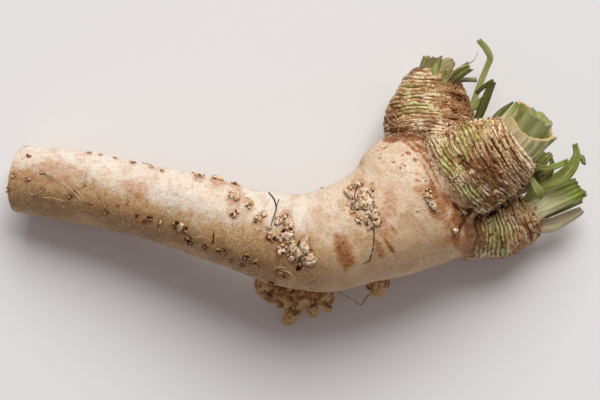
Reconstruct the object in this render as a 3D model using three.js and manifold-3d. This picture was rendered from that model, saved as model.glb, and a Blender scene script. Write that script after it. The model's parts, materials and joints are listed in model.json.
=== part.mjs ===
// A horseradish root as it is lifted and trimmed: one thick taproot, cut square at the thin end and
// branching into three ringed heads at the other, with the stumps of its leaf stalks, the broken
// stubs of its side roots and a few thin rootlets.
//
// Millimetres. +X runs from the cut end to the heads, +Z is up and the root lies on the plane Z = 0.
// The origin is on that plane, under the middle of the whole root.
// A station is [x, y, z, across, thick]: a point on a piece's middle line, its half width measured
// level and its half height square to that.
import * as THREE from "three";
import { mergeVertices } from "three/addons/utils/BufferGeometryUtils.js";
import Module from "manifold-3d";

const wasm = await Module();
wasm.setup();

// ---------------------------------------------------------------- driving dimensions
const GAP = 0.3; // left between a piece and whatever it grows from
const RING_HEIGHT = 1.2; // how far a leaf scar stands out of a head
const RING_UNEVEN = 0.3; // the share by which that height rises and falls around a ring
const ROOT_SIDES = 28;
const HEAD_SIDES = 28;

// The taproot, from the cut end, up over the arched belly and into the heads.
const TAPROOT = [
  [-147, 2.2, 13.3, 16.6, 16.6],
  [-138.5, 1.5, 15.1, 17.2, 16.9],
  [-108, -2.5, 22, 18.4, 18],
  [-78, -9, 28.4, 18.5, 18.2],
  [-48.5, -16.8, 34, 19.8, 19.4],
  [-24, -24.6, 37.8, 21, 20.4],
  [-4.5, -29, 40, 23.4, 22.4],
  [13, -29.6, 41, 25.6, 24],
  [31.5, -23.8, 40.6, 26.8, 25.4],
  [45, -18.4, 39, 30.4, 26.6],
  [59.5, -9.5, 36, 35, 27.8],
  [71, -3.5, 33.5, 32.4, 26.6],
  [80, 0, 33, 25, 23],
];
const TAPROOT_STEPS = 34;

// The slanting knife cut across the thin end: a point on it and the way it faces.
const CUT_POINT = [-138.5, 1.2, 15.1];
const CUT_FACES = [-0.932, 0.14, -0.334];

// Each head, from inside the taproot to its growing tip: how many leaf scars ring it, and the way the
// first and the last of them face.
const HEADS = {
  a: {
    rings: 17,
    faces: [[0.1, 0.93, -0.34], [0.14, 0.98, -0.1]],
    stations: [
      [69, 14, 31, 22.5, 22],
      [68.5, 25, 26, 22.2, 21.6],
      [68.2, 35, 20.7, 21.6, 21],
      [68.6, 43, 18.8, 18.5, 18.5],
      [69.2, 49, 17.8, 15, 15.2],
      [69.6, 53.5, 17.2, 11, 11.2],
      [69.8, 56.5, 17, 6.6, 6.8],
    ],
  },
  b: {
    rings: 17,
    faces: [[0.77, 0.62, 0.17], [0.87, 0.46, 0.2]],
    stations: [
      [72, -0.5, 42, 24, 22.5],
      [82, 5, 44.5, 24, 21.5],
      [91, 9.5, 46.6, 22.4, 20.6],
      [100.5, 13.8, 48.4, 20, 19],
      [107.5, 17, 49.6, 17, 16.4],
      [112, 19.4, 50.4, 13.6, 13.2],
      [115, 21, 51, 8, 8],
    ],
  },
  c: {
    rings: 15,
    faces: [[0.98, -0.02, -0.25], [0.87, 0.48, 0]],
    stations: [
      [79.5, -18, 27, 19.2, 20],
      [91, -20.4, 21, 17.8, 19.6],
      [101.6, -20.8, 18.4, 17.2, 18.7],
      [109.4, -19.2, 17.4, 15.4, 17.2],
      [114.8, -17.4, 17, 12.8, 14.6],
      [118.6, -15.8, 17, 9.8, 11.4],
      [120.8, -14.8, 17, 6, 7],
    ],
  },
};

// Knots of dormant buds on the taproot's upper side: [x, y, radius].
const KNOTS = [
  [-139, 3.5, 1.3],
  [-126, 5, 1.3],
  [-112, -7, 1.5],
  [-94, -14.5, 1.4],
  [-78.8, -16.8, 1.9],
  [-72.8, -18, 2.2],
  [-67.5, -20.5, 2],
  [-57.5, -22.5, 2.7],
  [-53.4, -28.6, 2.1],
  [-48, 2.4, 2],
  [-45, -31.8, 1.5],
  [-38.6, 0, 2.4],
  [-36.6, -34.3, 2.1],
  [-30, -1.6, 1.8],
  [-30.2, -7, 3.2],
  [-30.2, -16, 2.4],
  [-23, -12, 2.2],
  [-21, -38.4, 2.8],
  [-18.3, -19, 3.2],
  [-12.8, -25, 3],
  [-7.2, -44.6, 2.4],
  [-6.4, -20.5, 4],
  [-5, -31.8, 3.4],
  [4.6, -33, 4.2],
  [5, -39, 3.6],
  [30.3, -1.5, 2.6],
  [33.6, -4.6, 2.2],
  [26.4, -6.6, 1.9],
  [35, -13, 4.4],
  [31, -18, 2.3],
  [40, -19.4, 3],
  [66, -7.6, 2.8],
  [79, -23.4, 2.2],
];
const KNOT_SINK = 0.35; // share of its radius by which a knot is sunk in the skin

// ---------------------------------------------------------------- solids
/** A manifold solid of a closed three.js geometry, its faces turned outwards. */
function solidOf(geometry) {
  const bare = geometry.index ? geometry.toNonIndexed() : geometry.clone();
  bare.deleteAttribute("normal");
  bare.deleteAttribute("uv");
  const merged = mergeVertices(bare, 1e-4);
  const triVerts = new Uint32Array(merged.index.array);
  const make = () =>
    new wasm.Manifold(
      new wasm.Mesh({ numProp: 3, vertProperties: merged.attributes.position.array, triVerts }),
    );
  const solid = make();
  if (solid.volume() >= 0) return solid;
  for (let i = 0; i < triVerts.length; i += 3) {
    [triVerts[i + 1], triVerts[i + 2]] = [triVerts[i + 2], triVerts[i + 1]];
  }
  return make();
}

/** The three.js geometry of the largest body in a manifold solid. */
function geometryOf(solid) {
  const [largest] = solid.decompose().sort((p, q) => q.volume() - p.volume());
  const mesh = largest.getMesh();
  const geometry = new THREE.BufferGeometry();
  geometry.setAttribute("position", new THREE.BufferAttribute(mesh.vertProperties, mesh.numProp));
  geometry.setIndex(new THREE.BufferAttribute(mesh.triVerts, 1));
  geometry.computeVertexNormals();
  return geometry;
}

/** A round section's outline, as [across, up] shares of the half width and half height. */
function roundSection(sides) {
  return Array.from({ length: sides }, (_, i) => {
    const angle = (2 * Math.PI * i) / sides;
    return [Math.cos(angle), Math.sin(angle)];
  });
}

/** A leaf stalk's outline: round below, with a channel of the given depth along its upper face. */
function channelSection(depth) {
  const BELOW = 9;
  const RIM = 0.42;
  const below = Array.from({ length: BELOW }, (_, i) => {
    const angle = Math.PI + (Math.PI * i) / (BELOW - 1);
    return [Math.cos(angle), Math.sin(angle)];
  });
  const right = [[0.82, RIM], [0.5, RIM - depth * 0.55]];
  const left = right.map(([u, v]) => [-u, v]).reverse();
  return [...below, ...right, [0, RIM - depth], ...left];
}

/**
 * A solid with the given section, swept evenly along stations and scaled to their half widths and
 * heights. Its sections are square to its middle line, unless faces gives the way the first and the
 * last of them face. grow moves its whole skin out and ridge(step, side) moves out one corner of it.
 */
function sweep(stations, { section, steps, faces, grow = 0, ridge = () => 0 }) {
  const middle = new THREE.CatmullRomCurve3(stations.map((s) => new THREE.Vector3(s[0], s[1], s[2])));
  const halves = new THREE.CatmullRomCurve3(stations.map((s) => new THREE.Vector3(s[3], s[4], 0)));
  const outline = section.map(([u, v]) => new THREE.Vector2(u, v));
  const count = outline.length;
  const [first, last] = faces ? faces.map((f) => new THREE.Vector3(...f).normalize()) : [];
  const corners = [];
  for (let i = 0; i <= steps; i++) {
    const t = middle.getUtoTmapping(i / steps);
    const centre = middle.getPoint(t);
    const half = halves.getPoint(t);
    const along = faces ? first.clone().lerp(last, i / steps).normalize() : middle.getTangent(t);
    const level = new THREE.Vector3().crossVectors(new THREE.Vector3(0, 0, 1), along).normalize();
    const up = new THREE.Vector3().crossVectors(along, level);
    if (i === 0) centre.addScaledVector(along, -grow);
    if (i === steps) centre.addScaledVector(along, grow);
    outline.forEach(({ x, y }, j) => {
      const rise = grow + ridge(i, j);
      const corner = centre.clone().addScaledVector(level, x * (half.x + rise));
      corners.push(corner.addScaledVector(up, y * (half.y + rise)));
    });
  }
  const triangles = [];
  for (let i = 0; i < steps; i++) {
    for (let j = 0; j < count; j++) {
      const here = i * count + j;
      const next = i * count + ((j + 1) % count);
      triangles.push(here, next, here + count, next, next + count, here + count);
    }
  }
  for (const [a, b, c] of THREE.ShapeUtils.triangulateShape(outline, [])) {
    triangles.push(c, b, a, a + steps * count, b + steps * count, c + steps * count);
  }
  const geometry = new THREE.BufferGeometry().setFromPoints(corners);
  geometry.setIndex(triangles);
  return solidOf(geometry);
}

/** A large block with one face through a point, square to a direction, lying on the far side of it. */
function blockBeyond(point, direction) {
  const SIDE = 400;
  const block = new THREE.BoxGeometry(SIDE, SIDE, SIDE);
  const facing = new THREE.Vector3(...direction).normalize();
  block.applyQuaternion(new THREE.Quaternion().setFromUnitVectors(new THREE.Vector3(0, 0, 1), facing));
  block.translate(...new THREE.Vector3(...point).addScaledVector(facing, SIDE / 2).toArray());
  return solidOf(block);
}

// ---------------------------------------------------------------- the root
const tapMiddle = new THREE.CatmullRomCurve3(TAPROOT.map((s) => new THREE.Vector3(s[0], s[1], s[2])));
const tapHalves = new THREE.CatmullRomCurve3(TAPROOT.map((s) => new THREE.Vector3(s[3], s[4], 0)));

/** The point of the taproot's upper skin over (x, y), raised by lift. */
function onSkin(x, y, lift = 0) {
  const SAMPLES = 200;
  let best = { distance: Infinity };
  for (let i = 0; i <= SAMPLES; i++) {
    const centre = tapMiddle.getPoint(i / SAMPLES);
    const distance = Math.hypot(centre.x - x, centre.y - y);
    if (distance < best.distance) best = { distance, centre, half: tapHalves.getPoint(i / SAMPLES) };
  }
  const share = Math.min(best.distance / best.half.x, 0.995);
  return [x, y, best.centre.z + best.half.y * Math.sqrt(1 - share * share) + lift];
}

/** A root with its knots of buds added, each of them moved out by grow. */
function withKnots(root, grow) {
  return KNOTS.reduce((solid, [x, y, radius]) => {
    const knot = new THREE.SphereGeometry(radius + grow, 7, 5);
    knot.translate(...onSkin(x, y, -radius * KNOT_SINK));
    return solid.add(solidOf(knot));
  }, root);
}

/** The taproot, its ringed heads and its knots of buds in one solid. */
function rootSolid() {
  const ridge = (step, side) =>
    step % 2 ? RING_HEIGHT * (1 + RING_UNEVEN * Math.sin(2.1 * side + 1.3 * step)) : 0;
  const section = roundSection(HEAD_SIDES);
  let root = sweep(TAPROOT, { section: roundSection(ROOT_SIDES), steps: TAPROOT_STEPS });
  for (const { stations, rings, faces } of Object.values(HEADS)) {
    root = root.add(sweep(stations, { section, steps: 2 * rings, faces, ridge }));
  }
  return withKnots(root, 0)
    .subtract(blockBeyond(CUT_POINT, CUT_FACES))
    .subtract(blockBeyond([0, 0, 0], [0, 0, -1]));
}

/** The space that the root fills, with a gap all round, for cutting back other pieces. */
function rootSpace() {
  const headGrowth = RING_HEIGHT * (1 + RING_UNEVEN) + 2 * GAP;
  const section = roundSection(HEAD_SIDES);
  let space = sweep(TAPROOT, { section: roundSection(ROOT_SIDES), steps: TAPROOT_STEPS, grow: GAP });
  for (const { stations, rings, faces } of Object.values(HEADS)) {
    space = space.add(sweep(stations, { section, steps: rings, faces, grow: headGrowth }));
  }
  return withKnots(space, GAP);
}

// ---------------------------------------------------------------- placing the pieces
const group = new THREE.Group();
let taken = rootSpace(); // everything placed so far, with its clearance

/** Adds a named piece to the group. */
function place(name, solid, colour, roughness = 0.7) {
  const material = new THREE.MeshStandardMaterial({ color: colour, roughness, metalness: 0 });
  const mesh = new THREE.Mesh(geometryOf(solid), material);
  mesh.name = name;
  group.add(mesh);
}

/** Adds a swept piece that grows out of the root or of another piece, cut back to stand clear of them. */
function outgrowth(name, colour, section, steps, stations) {
  place(name, sweep(stations, { section, steps }).subtract(taken), colour);
  taken = taken.add(sweep(stations, { section, steps, grow: GAP }));
}

const SKIN = 0xd9c7ab;
const BARK = 0x8c6a43;
const ROOTLET = 0xb08f5e;
const GREEN = 0x7f9a4e;
const PALE_GREEN = 0xb9c48a;
const DARK_GREEN = 0x4c6130;
const OLIVE = 0x8b8358;

place("taproot_and_crown", rootSolid(), SKIN, 0.6);

// ---------------------------------------------------------------- leaf stalk stumps
const deepChannel = channelSection(0.5);
const shallowChannel = channelSection(0.35);
const roundStalk = roundSection(8);

// The first head, the one that points to +Y.
outgrowth("leaf_stalk_a1", OLIVE, deepChannel, 5, [
  [66, 53, 23, 5, 3.4],
  [67.4, 58, 24.5, 5.4, 3.4],
  [69, 63, 25.5, 4.4, 2.6],
]);
outgrowth("leaf_stalk_a2", OLIVE, roundSection(12), 6, [
  [72, 51, 20, 4.6, 3.4],
  [75, 57, 22, 4.6, 3.2],
  [79, 60.6, 22.5, 3, 2],
]);
outgrowth("leaf_stalk_a3", DARK_GREEN, deepChannel, 5, [
  [75, 49, 27, 2.6, 2.6],
  [81, 54, 29, 2.7, 2.7],
  [86.5, 57.5, 30, 2.5, 2.5],
]);
outgrowth("leaf_stalk_a4", DARK_GREEN, roundStalk, 5, [
  [78, 49, 21, 1, 1],
  [84, 51, 22, 0.95, 0.95],
  [91, 51.5, 22.5, 0.9, 0.9],
]);
outgrowth("leaf_stalk_a5", GREEN, roundStalk, 6, [
  [74.5, 47, 29, 1.7, 1.5],
  [73.6, 51, 32.4, 1.1, 1.1],
  [75.4, 56, 34.6, 0.7, 0.7],
]);
outgrowth("leaf_stalk_a6", GREEN, shallowChannel, 9, [
  [86, 35, 17, 1.3, 1.1],
  [92.6, 48, 20, 1.3, 1.1],
  [97.5, 60, 24, 1.4, 1.2],
  [96.8, 64, 25.5, 1.3, 1.1],
  [91.5, 71, 28, 1.3, 0.9],
]);
outgrowth("leaf_stalk_a7", DARK_GREEN, shallowChannel, 6, [
  [90, 29, 30, 1.9, 1.6],
  [94.5, 40, 34, 1.9, 1.6],
  [98.5, 49.2, 37, 1.8, 1.5],
]);
outgrowth("leaf_stalk_a8", GREEN, roundStalk, 5, [
  [87, 36.5, 26, 1, 0.6],
  [91, 39.5, 28, 1.7, 0.7],
  [94.6, 41.8, 28.5, 1, 0.5],
]);

// The second head, on top, ends in the open sheath of one broad leaf stalk.
outgrowth("leaf_stalk_b1", DARK_GREEN, roundStalk, 6, [
  [97, 30, 47, 1, 0.6],
  [102, 34.6, 49, 1.7, 0.6],
  [107.5, 39.4, 50.5, 0.6, 0.4],
]);

const SHEATH = [
  [105, 14.5, 48.5, 12.2, 11],
  [112, 22.5, 53, 12.9, 10.8],
  [119.4, 31.8, 57.8, 13, 9.8],
];
const SHEATH_HOLLOW = [
  [108.6, 18.8, 51, 9, 7.4],
  [112, 22.5, 53, 10.4, 8.4],
  [119.4, 31.8, 57.8, 11, 7.8],
  [123, 36.6, 60.2, 11.2, 7.8],
];
// The mouth of the sheath slants a little, so that its upper wall is the lower one: a point and a way.
const SHEATH_MOUTH = [[118.2, 30.4, 57.2], [0.56, 0.66, 0.5]];
const sheathShape = { section: roundSection(20), steps: 6 };
const sheath = sweep(SHEATH, sheathShape)
  .subtract(sweep(SHEATH_HOLLOW, sheathShape))
  .subtract(blockBeyond(...SHEATH_MOUTH));
place("leaf_sheath_b2", sheath.subtract(taken), PALE_GREEN);
taken = taken.add(sweep(SHEATH, { ...sheathShape, grow: GAP }));

// The third head, low on the -Y side, carries a fan of stalks.
outgrowth("leaf_stalk_c1", PALE_GREEN, deepChannel, 7, [
  [116, -15, 24, 5.4, 4],
  [128, -9, 26, 5.6, 3.4],
  [143, -3, 27.5, 5, 2.6],
]);
outgrowth("leaf_stalk_c2", GREEN, deepChannel, 8, [
  [114, -10, 32, 2.6, 2],
  [126, -1.5, 34, 3, 1.8],
  [135, 4.5, 36, 2.8, 1.6],
  [139.6, 11, 38, 2.2, 1.4],
  [138.8, 19, 40, 1.1, 0.9],
]);
outgrowth("leaf_stalk_c3", OLIVE, deepChannel, 7, [
  [118, -22, 17, 4, 3],
  [130, -22, 18, 3.6, 2.6],
  [143.4, -14.4, 19, 2.2, 1.8],
]);
outgrowth("leaf_stalk_c4", DARK_GREEN, shallowChannel, 6, [
  [119, -17, 15, 3.4, 2.6],
  [131, -13, 14, 3.2, 2.2],
  [144, -8.4, 13.5, 2.4, 1.8],
]);
outgrowth("leaf_stalk_c5", OLIVE, shallowChannel, 5, [
  [110, -4, 30, 3, 2],
  [115, -1, 32, 4, 2.2],
  [120.5, 2.6, 33, 3, 1.6],
]);
outgrowth("leaf_stalk_c6", GREEN, roundStalk, 7, [
  [115, 4, 37, 1.5, 0.9],
  [122.5, 6, 40.5, 1.5, 0.9],
  [132.6, 8.4, 42, 0.9, 0.6],
]);
outgrowth("leaf_stalk_c7", OLIVE, roundStalk, 5, [
  [117.5, 5, 33, 2.4, 1.4],
  [122, 8.4, 34.5, 2.2, 1.3],
  [126.8, 11.4, 35, 0.9, 0.7],
]);

// ---------------------------------------------------------------- broken side roots, under the belly
const stub = roundSection(10);
outgrowth("side_root_stub_1", BARK, stub, 9, [
  [-10, -42, 24, 5, 4.6],
  [-14.5, -50, 22, 4.8, 5],
  [-15, -54.6, 19, 4.4, 4.6],
  [-8, -58, 16, 3.8, 4],
  [-3, -60, 13.4, 2.6, 2.8],
]);
outgrowth("side_root_stub_2", BARK, stub, 8, [
  [3.6, -48, 24, 5, 5],
  [2, -60, 14, 3.8, 4],
  [-2.6, -67, 7, 3.2, 3.2],
  [-6, -71.5, 3.6, 1.9, 1.9],
]);
outgrowth("side_root_stub_3", BARK, stub, 6, [
  [5.6, -48, 25, 5, 5],
  [6.6, -58, 18, 3.6, 3.8],
  [8.4, -67.4, 10, 1.7, 1.8],
]);
outgrowth("side_root_stub_4", BARK, stub, 6, [
  [12.6, -49, 24, 4.4, 4.6],
  [14, -57.6, 18, 4, 4.2],
  [15.2, -65, 13, 1.6, 1.8],
]);
outgrowth("side_root_stub_5", BARK, stub, 6, [
  [40.6, -42, 26, 5, 5],
  [41.4, -50, 20, 5.2, 5],
  [40, -55.6, 15, 3.6, 3.6],
]);

// ---------------------------------------------------------------- thin rootlets
/** Adds a rootlet that lies along the taproot's upper skin through plan points, clear of it. */
function skinRootlet(name, colour, radius, points) {
  const LIFT = 0.75;
  const stations = points.map(([x, y]) => [...onSkin(x, y, radius + LIFT), radius, radius]);
  outgrowth(name, colour, roundSection(6), 9, stations);
}
skinRootlet("rootlet_1", ROOTLET, 0.4, [[-120.5, 3], [-114, -1], [-107, -6.4], [-101, -10.2]]);
skinRootlet("rootlet_2", ROOTLET, 0.4, [[-132, -6.6], [-126, -7.6], [-120, -7.8], [-114.5, -9.8]]);
skinRootlet("rootlet_3", BARK, 0.5, [[-13.4, -6], [-10.4, -10], [-10.8, -17], [-12.8, -23.4]]);
skinRootlet("rootlet_4", BARK, 0.5, [[39, -24.4], [38.8, -31], [37.6, -38], [34.6, -43], [30.4, -46]]);
outgrowth("rootlet_5", ROOTLET, roundSection(6), 10, [
  [40, -57, 14, 0.5, 0.5],
  [36, -58, 13, 0.5, 0.5],
  [32.6, -62.2, 12, 0.5, 0.5],
  [30, -60, 13, 0.5, 0.5],
  [25, -57, 16, 0.5, 0.5],
  [21, -52, 19, 0.5, 0.5],
]);
outgrowth("rootlet_6", ROOTLET, roundSection(6), 9, [
  [76, 53, 33, 0.45, 0.45],
  [84, 58.4, 35.6, 0.4, 0.4],
  [88.6, 60.6, 36.5, 0.4, 0.4],
  [91, 64.6, 37, 0.3, 0.3],
]);

export default group;
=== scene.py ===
"""The horseradish root's looks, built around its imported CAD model, with the table, light and camera.

Lengths are in millimetres until a mesh is made, and +X runs from the cut thin end to the heads.
A station is [x, y, z, across, thick]: a point on a piece's middle line, its half width measured
level and its half height. A mark is given where the camera sees it, on the level MARK_HEIGHT.
"""
import json
import math

import bmesh
import bpy
import numpy as np
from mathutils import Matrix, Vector
from mathutils.bvhtree import BVHTree

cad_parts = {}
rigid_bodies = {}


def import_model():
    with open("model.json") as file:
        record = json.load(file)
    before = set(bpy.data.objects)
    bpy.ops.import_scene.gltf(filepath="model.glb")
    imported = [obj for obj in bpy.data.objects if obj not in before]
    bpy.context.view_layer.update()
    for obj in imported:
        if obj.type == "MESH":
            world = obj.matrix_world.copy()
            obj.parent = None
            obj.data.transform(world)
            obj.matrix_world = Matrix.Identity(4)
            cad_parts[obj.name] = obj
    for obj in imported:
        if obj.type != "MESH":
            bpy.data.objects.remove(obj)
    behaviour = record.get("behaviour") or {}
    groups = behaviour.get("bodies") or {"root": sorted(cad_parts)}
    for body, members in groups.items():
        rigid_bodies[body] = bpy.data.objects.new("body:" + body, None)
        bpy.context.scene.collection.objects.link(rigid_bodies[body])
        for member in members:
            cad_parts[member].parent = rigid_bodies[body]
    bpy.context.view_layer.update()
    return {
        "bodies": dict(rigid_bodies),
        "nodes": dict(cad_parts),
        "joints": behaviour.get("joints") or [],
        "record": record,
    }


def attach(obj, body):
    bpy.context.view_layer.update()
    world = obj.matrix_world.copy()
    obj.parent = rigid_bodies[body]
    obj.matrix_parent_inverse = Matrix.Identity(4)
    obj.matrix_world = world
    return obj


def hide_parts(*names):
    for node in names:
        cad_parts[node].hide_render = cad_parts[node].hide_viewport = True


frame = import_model()

MM = 0.001

# ------------------------------------------------------------------ camera and table
MARK_HEIGHT = 35
CAMERA = np.array([2.0, -9.0, 2035.0])
LENS = 240
SENSOR = 36
TABLE_LEVEL = -0.02  # just under the object
TABLE_REACH = 8000
LAMP_PLACE = Vector((0.9, 4.3, 4.2))  # in metres, as its width is
LAMP_WIDTH = 4.8
LAMP_WATTS = 400
LIGHT_AROUND = 0.25

# ------------------------------------------------------------------ the taproot
TAPROOT = [
    [-147, 2.2, 13.3, 16.6, 16.6],
    [-138.5, 1.5, 15.1, 17.2, 16.9],
    [-108, -2.5, 22, 18.4, 18],
    [-78, -9, 28.4, 18.5, 18.2],
    [-48.5, -16.8, 34, 19.8, 19.4],
    [-24, -24.6, 37.8, 21, 20.4],
    [-4.5, -29, 40, 23.4, 22.4],
    [13, -29.6, 41, 25.6, 24],
    [31.5, -23.8, 40.6, 26.8, 25.4],
    [45, -18.4, 39, 30.4, 26.6],
    [59.5, -9.5, 36, 35, 27.8],
    [71, -3.5, 33.5, 32.4, 26.6],
    [80, 0, 33, 25, 23],
]
CUT_POINT = [-138.5, 1.2, 15.1]
CUT_FACES = [-0.932, 0.14, -0.334]
SKIN_VOXEL = 0.84
FILLET_ROUNDS = 31  # how often the joined body is smoothed, which rounds the feet of the heads
GRAIN_RADIUS = 22

# ------------------------------------------------------------------ the heads
# A head has so many rings of leaf scars, from and to a distance along its middle line, and the first
# and the last face as faces says. fold is how far apart its soft folds lie, dried is how brown they are
# and drier_right how much browner each millimetre to the right.
HEADS = {
    "a": {
        "rings": 13, "rings_from": 5.0, "rings_to": 44.5, "fold": 2.7, "dried": 0.45, "drier_right": 0.05,
        "faces": [[0.1, 0.93, -0.34], [0.14, 0.98, -0.1]],
        "stations": [
            [69, 14, 31, 22.5, 22],
            [67.9, 25, 26, 23.6, 21.6],
            [68.2, 35, 20.7, 21.6, 21],
            [68.6, 43, 18.8, 18, 18],
            [68.8, 49, 17.8, 14.8, 15],
            [69, 53.5, 17.2, 11.6, 11.8],
            [69, 56.8, 17, 7.6, 7.8],
        ],
    },
    "b": {
        "rings": 17, "rings_from": 8.5, "rings_to": 43.0, "fold": 2.2, "dried": -0.9, "drier_right": 0.0,
        "faces": [[0.77, 0.62, 0.17], [0.87, 0.46, 0.2]],
        "stations": [
            [72, -0.5, 42, 24, 22.5],
            [82, 5, 44.5, 24, 21.5],
            [91, 9.5, 46.6, 22.4, 20.6],
            [100.5, 13.8, 48.4, 20, 19],
            [107.5, 17, 49.6, 17, 16.4],
            [112, 19.4, 50.4, 13.6, 13.2],
            [115, 21, 51, 8, 8],
        ],
    },
    "c": {
        "rings": 15, "rings_from": 7.0, "rings_to": 42.5, "fold": 2.3, "dried": 0.4, "drier_right": 0.0,
        "faces": [[0.98, -0.02, -0.25], [0.87, 0.48, 0.0]],
        "stations": [
            [79.5, -18.8, 27, 21.4, 20.4],
            [91, -20.4, 21, 17.8, 19.6],
            [101.6, -20.8, 18.4, 17.2, 18.7],
            [109.4, -19.2, 17.4, 15.4, 17.2],
            [114.8, -17.4, 17, 12.8, 14.6],
            [118.6, -15.8, 17, 9.8, 11.4],
            [120.8, -14.8, 17, 6, 7],
        ],
    },
}
FOLD_HEIGHT = 1.6  # how far a soft fold of a head stands out of the crease beside it
FOLD_STEP = 0.265  # between the rows of a head's mesh, of so many points around
FOLD_COLUMNS = 238
CORE_INSET = 1.3  # the skin under the leaf scars lies this far in
SCAR_ROOT = 0.5  # and they are rooted this much deeper
SCAR_RISE = 0.6  # how far past a head's surface a leaf scar's rim stands, on average
SCAR_COLUMN = 0.5
CRUMBS = 700  # loose flakes on a head
# A leaf scar in section: [share of the ring's width towards the tip, share of its height, rim, groove shade,
# which is painted shade at its foot and under its rim].
SCAR = [
    [0.00, 0.00, 0, 1], [0.18, 0.50, 0, 0.6], [0.48, 0.80, 0, 0], [0.95, 1.00, 0.2, 0],
    [1.12, 0.98, 0.45, 0], [1.02, 0.78, 0.6, 0.7], [0.82, 0.35, 0, 1], [0.62, 0.00, 0, 1],
]
# Where the leaf scars have dried and crumbled, where they stayed smooth and green, where two heads
# press together, where dry sheets stand up, and where the scars are torn off:
# x, y, half length, half width, turn in degrees, strength.
CRUMBLED = [
    [83, 40, 8, 10, 0, 1.3], [48, 33, 5, 6, 0, 0.8], [96, 5, 12, 7, -45, 1], [84, 8.5, 5, 3.4, -50, 1],
    [100, 17, 6, 6, 0, 0.5], [78, 24, 6, 3, 0, 0.5], [52, 24, 6, 3, -20, 1], [98, -9, 8, 3, 30, 0.8],
    [119, -16, 4, 10, -10, 0.8],
]
GREENISH = [
    [60, 47, 11, 4, -7, 0.6], [60, 36, 13, 5, -7, 0.6], [79, 13, 7.5, 22, -42, 1.1],
    [87, -5.5, 8, 4, -40, 1.7], [103, 19, 4, 9, -40, 0.4], [100.5, -25, 7, 13, 0, 1.6],
    [108, -22, 2.5, 12, 5, 1],
]
# Where two heads press together the folds sink and their grooves are painted darker, as shade between the
# heads.
CREVICES = {
    "a": [[80, 26.5, 6, 1.8, -15, 0.9]],
    "b": [],
    "c": [[86, -18.5, 6, 2.0, 10, 0.9], [96, -15, 8, 2.4, 30, 1.0], [107.5, -9.5, 8, 2.4, 25, 1.0]],
}
SHEETED = [
    [104, 11, 20, 7.5, -49, 1], [92, 18, 9, 6, -49, 0.7], [116, -21, 6, 14, 0, 0.8],
    [82, 37, 6, 10, 0, 0.35],
]
TORN_OFF = [
    [88, -5, 7.5, 3.6, -38, 1], [84, 8.5, 4, 2.2, -50, 0.9], [98, -24, 2.4, 6, 0, 0.7],
]

# ------------------------------------------------------------------ marks on the skin
# Stains, in the same form. The strongest rows, over 2, near the buds between x -42 and 2 and in the crevice
# between the second and third heads, paint shadow, not stain.
STAINS = [
    [24, -35, 9.2, 5.2, -66, 1.15], [21, -27.5, 3.4, 2.2, -30, 0.8], [21.5, -28.5, 4, 3, 0, 0.5],
    [46, -31, 8, 1.3, -58, 1.2], [48.8, -24, 5, 1.2, -52, 1], [41.4, -32.6, 7, 2.6, -70, 0.95],
    [48.6, 21.6, 6, 2, 12, 1.25], [57.6, 22.6, 7, 2.6, -8, 1.25], [66.4, 20.6, 6, 2.6, -34, 1.4],
    [70.4, 14.6, 7, 1.8, -52, 1.4], [-41.4, -28, 3.6, 0.6, 86, 2.3], [1.4, -33, 4.2, 1.4, 80, 2.7],
    [1.8, -43, 2.2, 1.2, 30, 2.3], [-12, -27.8, 3.2, 2.8, 0, 2.2], [-5, -24.6, 3.4, 1.5, 20, 2.5],
    [-118, 6, 14, 6, -8, 0.7], [-125, 2, 6, 4, 10, 0.5], [-136, 2.5, 8, 4.5, 0, 0.45],
    [-80, -4, 10, 5, -16, 0.62], [-79, -7, 3, 2, -16, 0.8], [-92, -10, 16, 5, -10, 0.3],
    [55, 20, 8, 1.3, -38, 1.1], [62, 17.5, 6, 1.2, -30, 1.2], [59, 16.4, 3, 0.9, -30, 1.2],
    [64.5, 12, 7, 0.9, -55, 1.1], [66, 4, 9, 0.8, -62, 0.9], [69.5, 3, 8, 0.7, -62, 1],
    [56, 14.6, 1.7, 1.1, 0, 1.1], [59.5, 11, 1.5, 1, 0, 1.1], [51, 22.5, 2.2, 1, 30, 1.1],
    [53, 9, 0.9, 0.8, 0, 1.1], [42, 12, 1, 0.7, 0, 1], [44.5, 17, 2, 0.8, 30, 0.9],
    [60.5, 4, 1.5, 1.1, 0, 0.9], [60.5, 1, 1.8, 1.3, 0, 0.9], [44.5, 5, 1.2, 0.9, 0, 0.6],
    [51.5, -11.5, 2.2, 1.4, 0, 0.5], [50, -20, 5, 9, 20, 0.25], [10, -18, 7, 5, 0, 0.35],
    [6, -27, 5, 9, 0, 0.4], [17, -24, 4, 2.5, 0, 0.3], [70, -30, 12, 5, 10, 0.35],
    [80, -20, 8, 6, 40, 0.8], [82, -17, 7, 5, 35, 1.2], [86.5, -15, 5, 2, 30, 2.3],
    [80, -12.4, 4, 1.2, -50, 1.8], [83, -21, 5, 1.2, 60, 1.7], [86, -24, 3, 6, 10, 1.1],
    [79, -29, 6, 4, -20, 0.8], [68.6, -5, 2.6, 6, 20, 1.2], [71, -14, 6, 6, 0, 0.95],
    [62.5, -4, 5, 4, -30, 0.75], [47, -11, 5, 9, 0, 0.6], [43, -24, 6, 5, -40, 0.7],
    [53, -20, 4, 7, -20, 0.5], [-29, -14, 11, 7, -20, 0.4], [75, -9, 7, 3, -55, 0.9],
    [71, -12, 6, 5, 0, 0.6], [85, -31, 7, 6, 0, 0.8], [80, -27, 3, 6, 0, 1.1],
    [60, 17.5, 9, 3.6, -35, 0.45], [52, 27, 5, 1.4, 40, 0.9], [70, -10, 5, 7, 20, 0.8],
]

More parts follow.
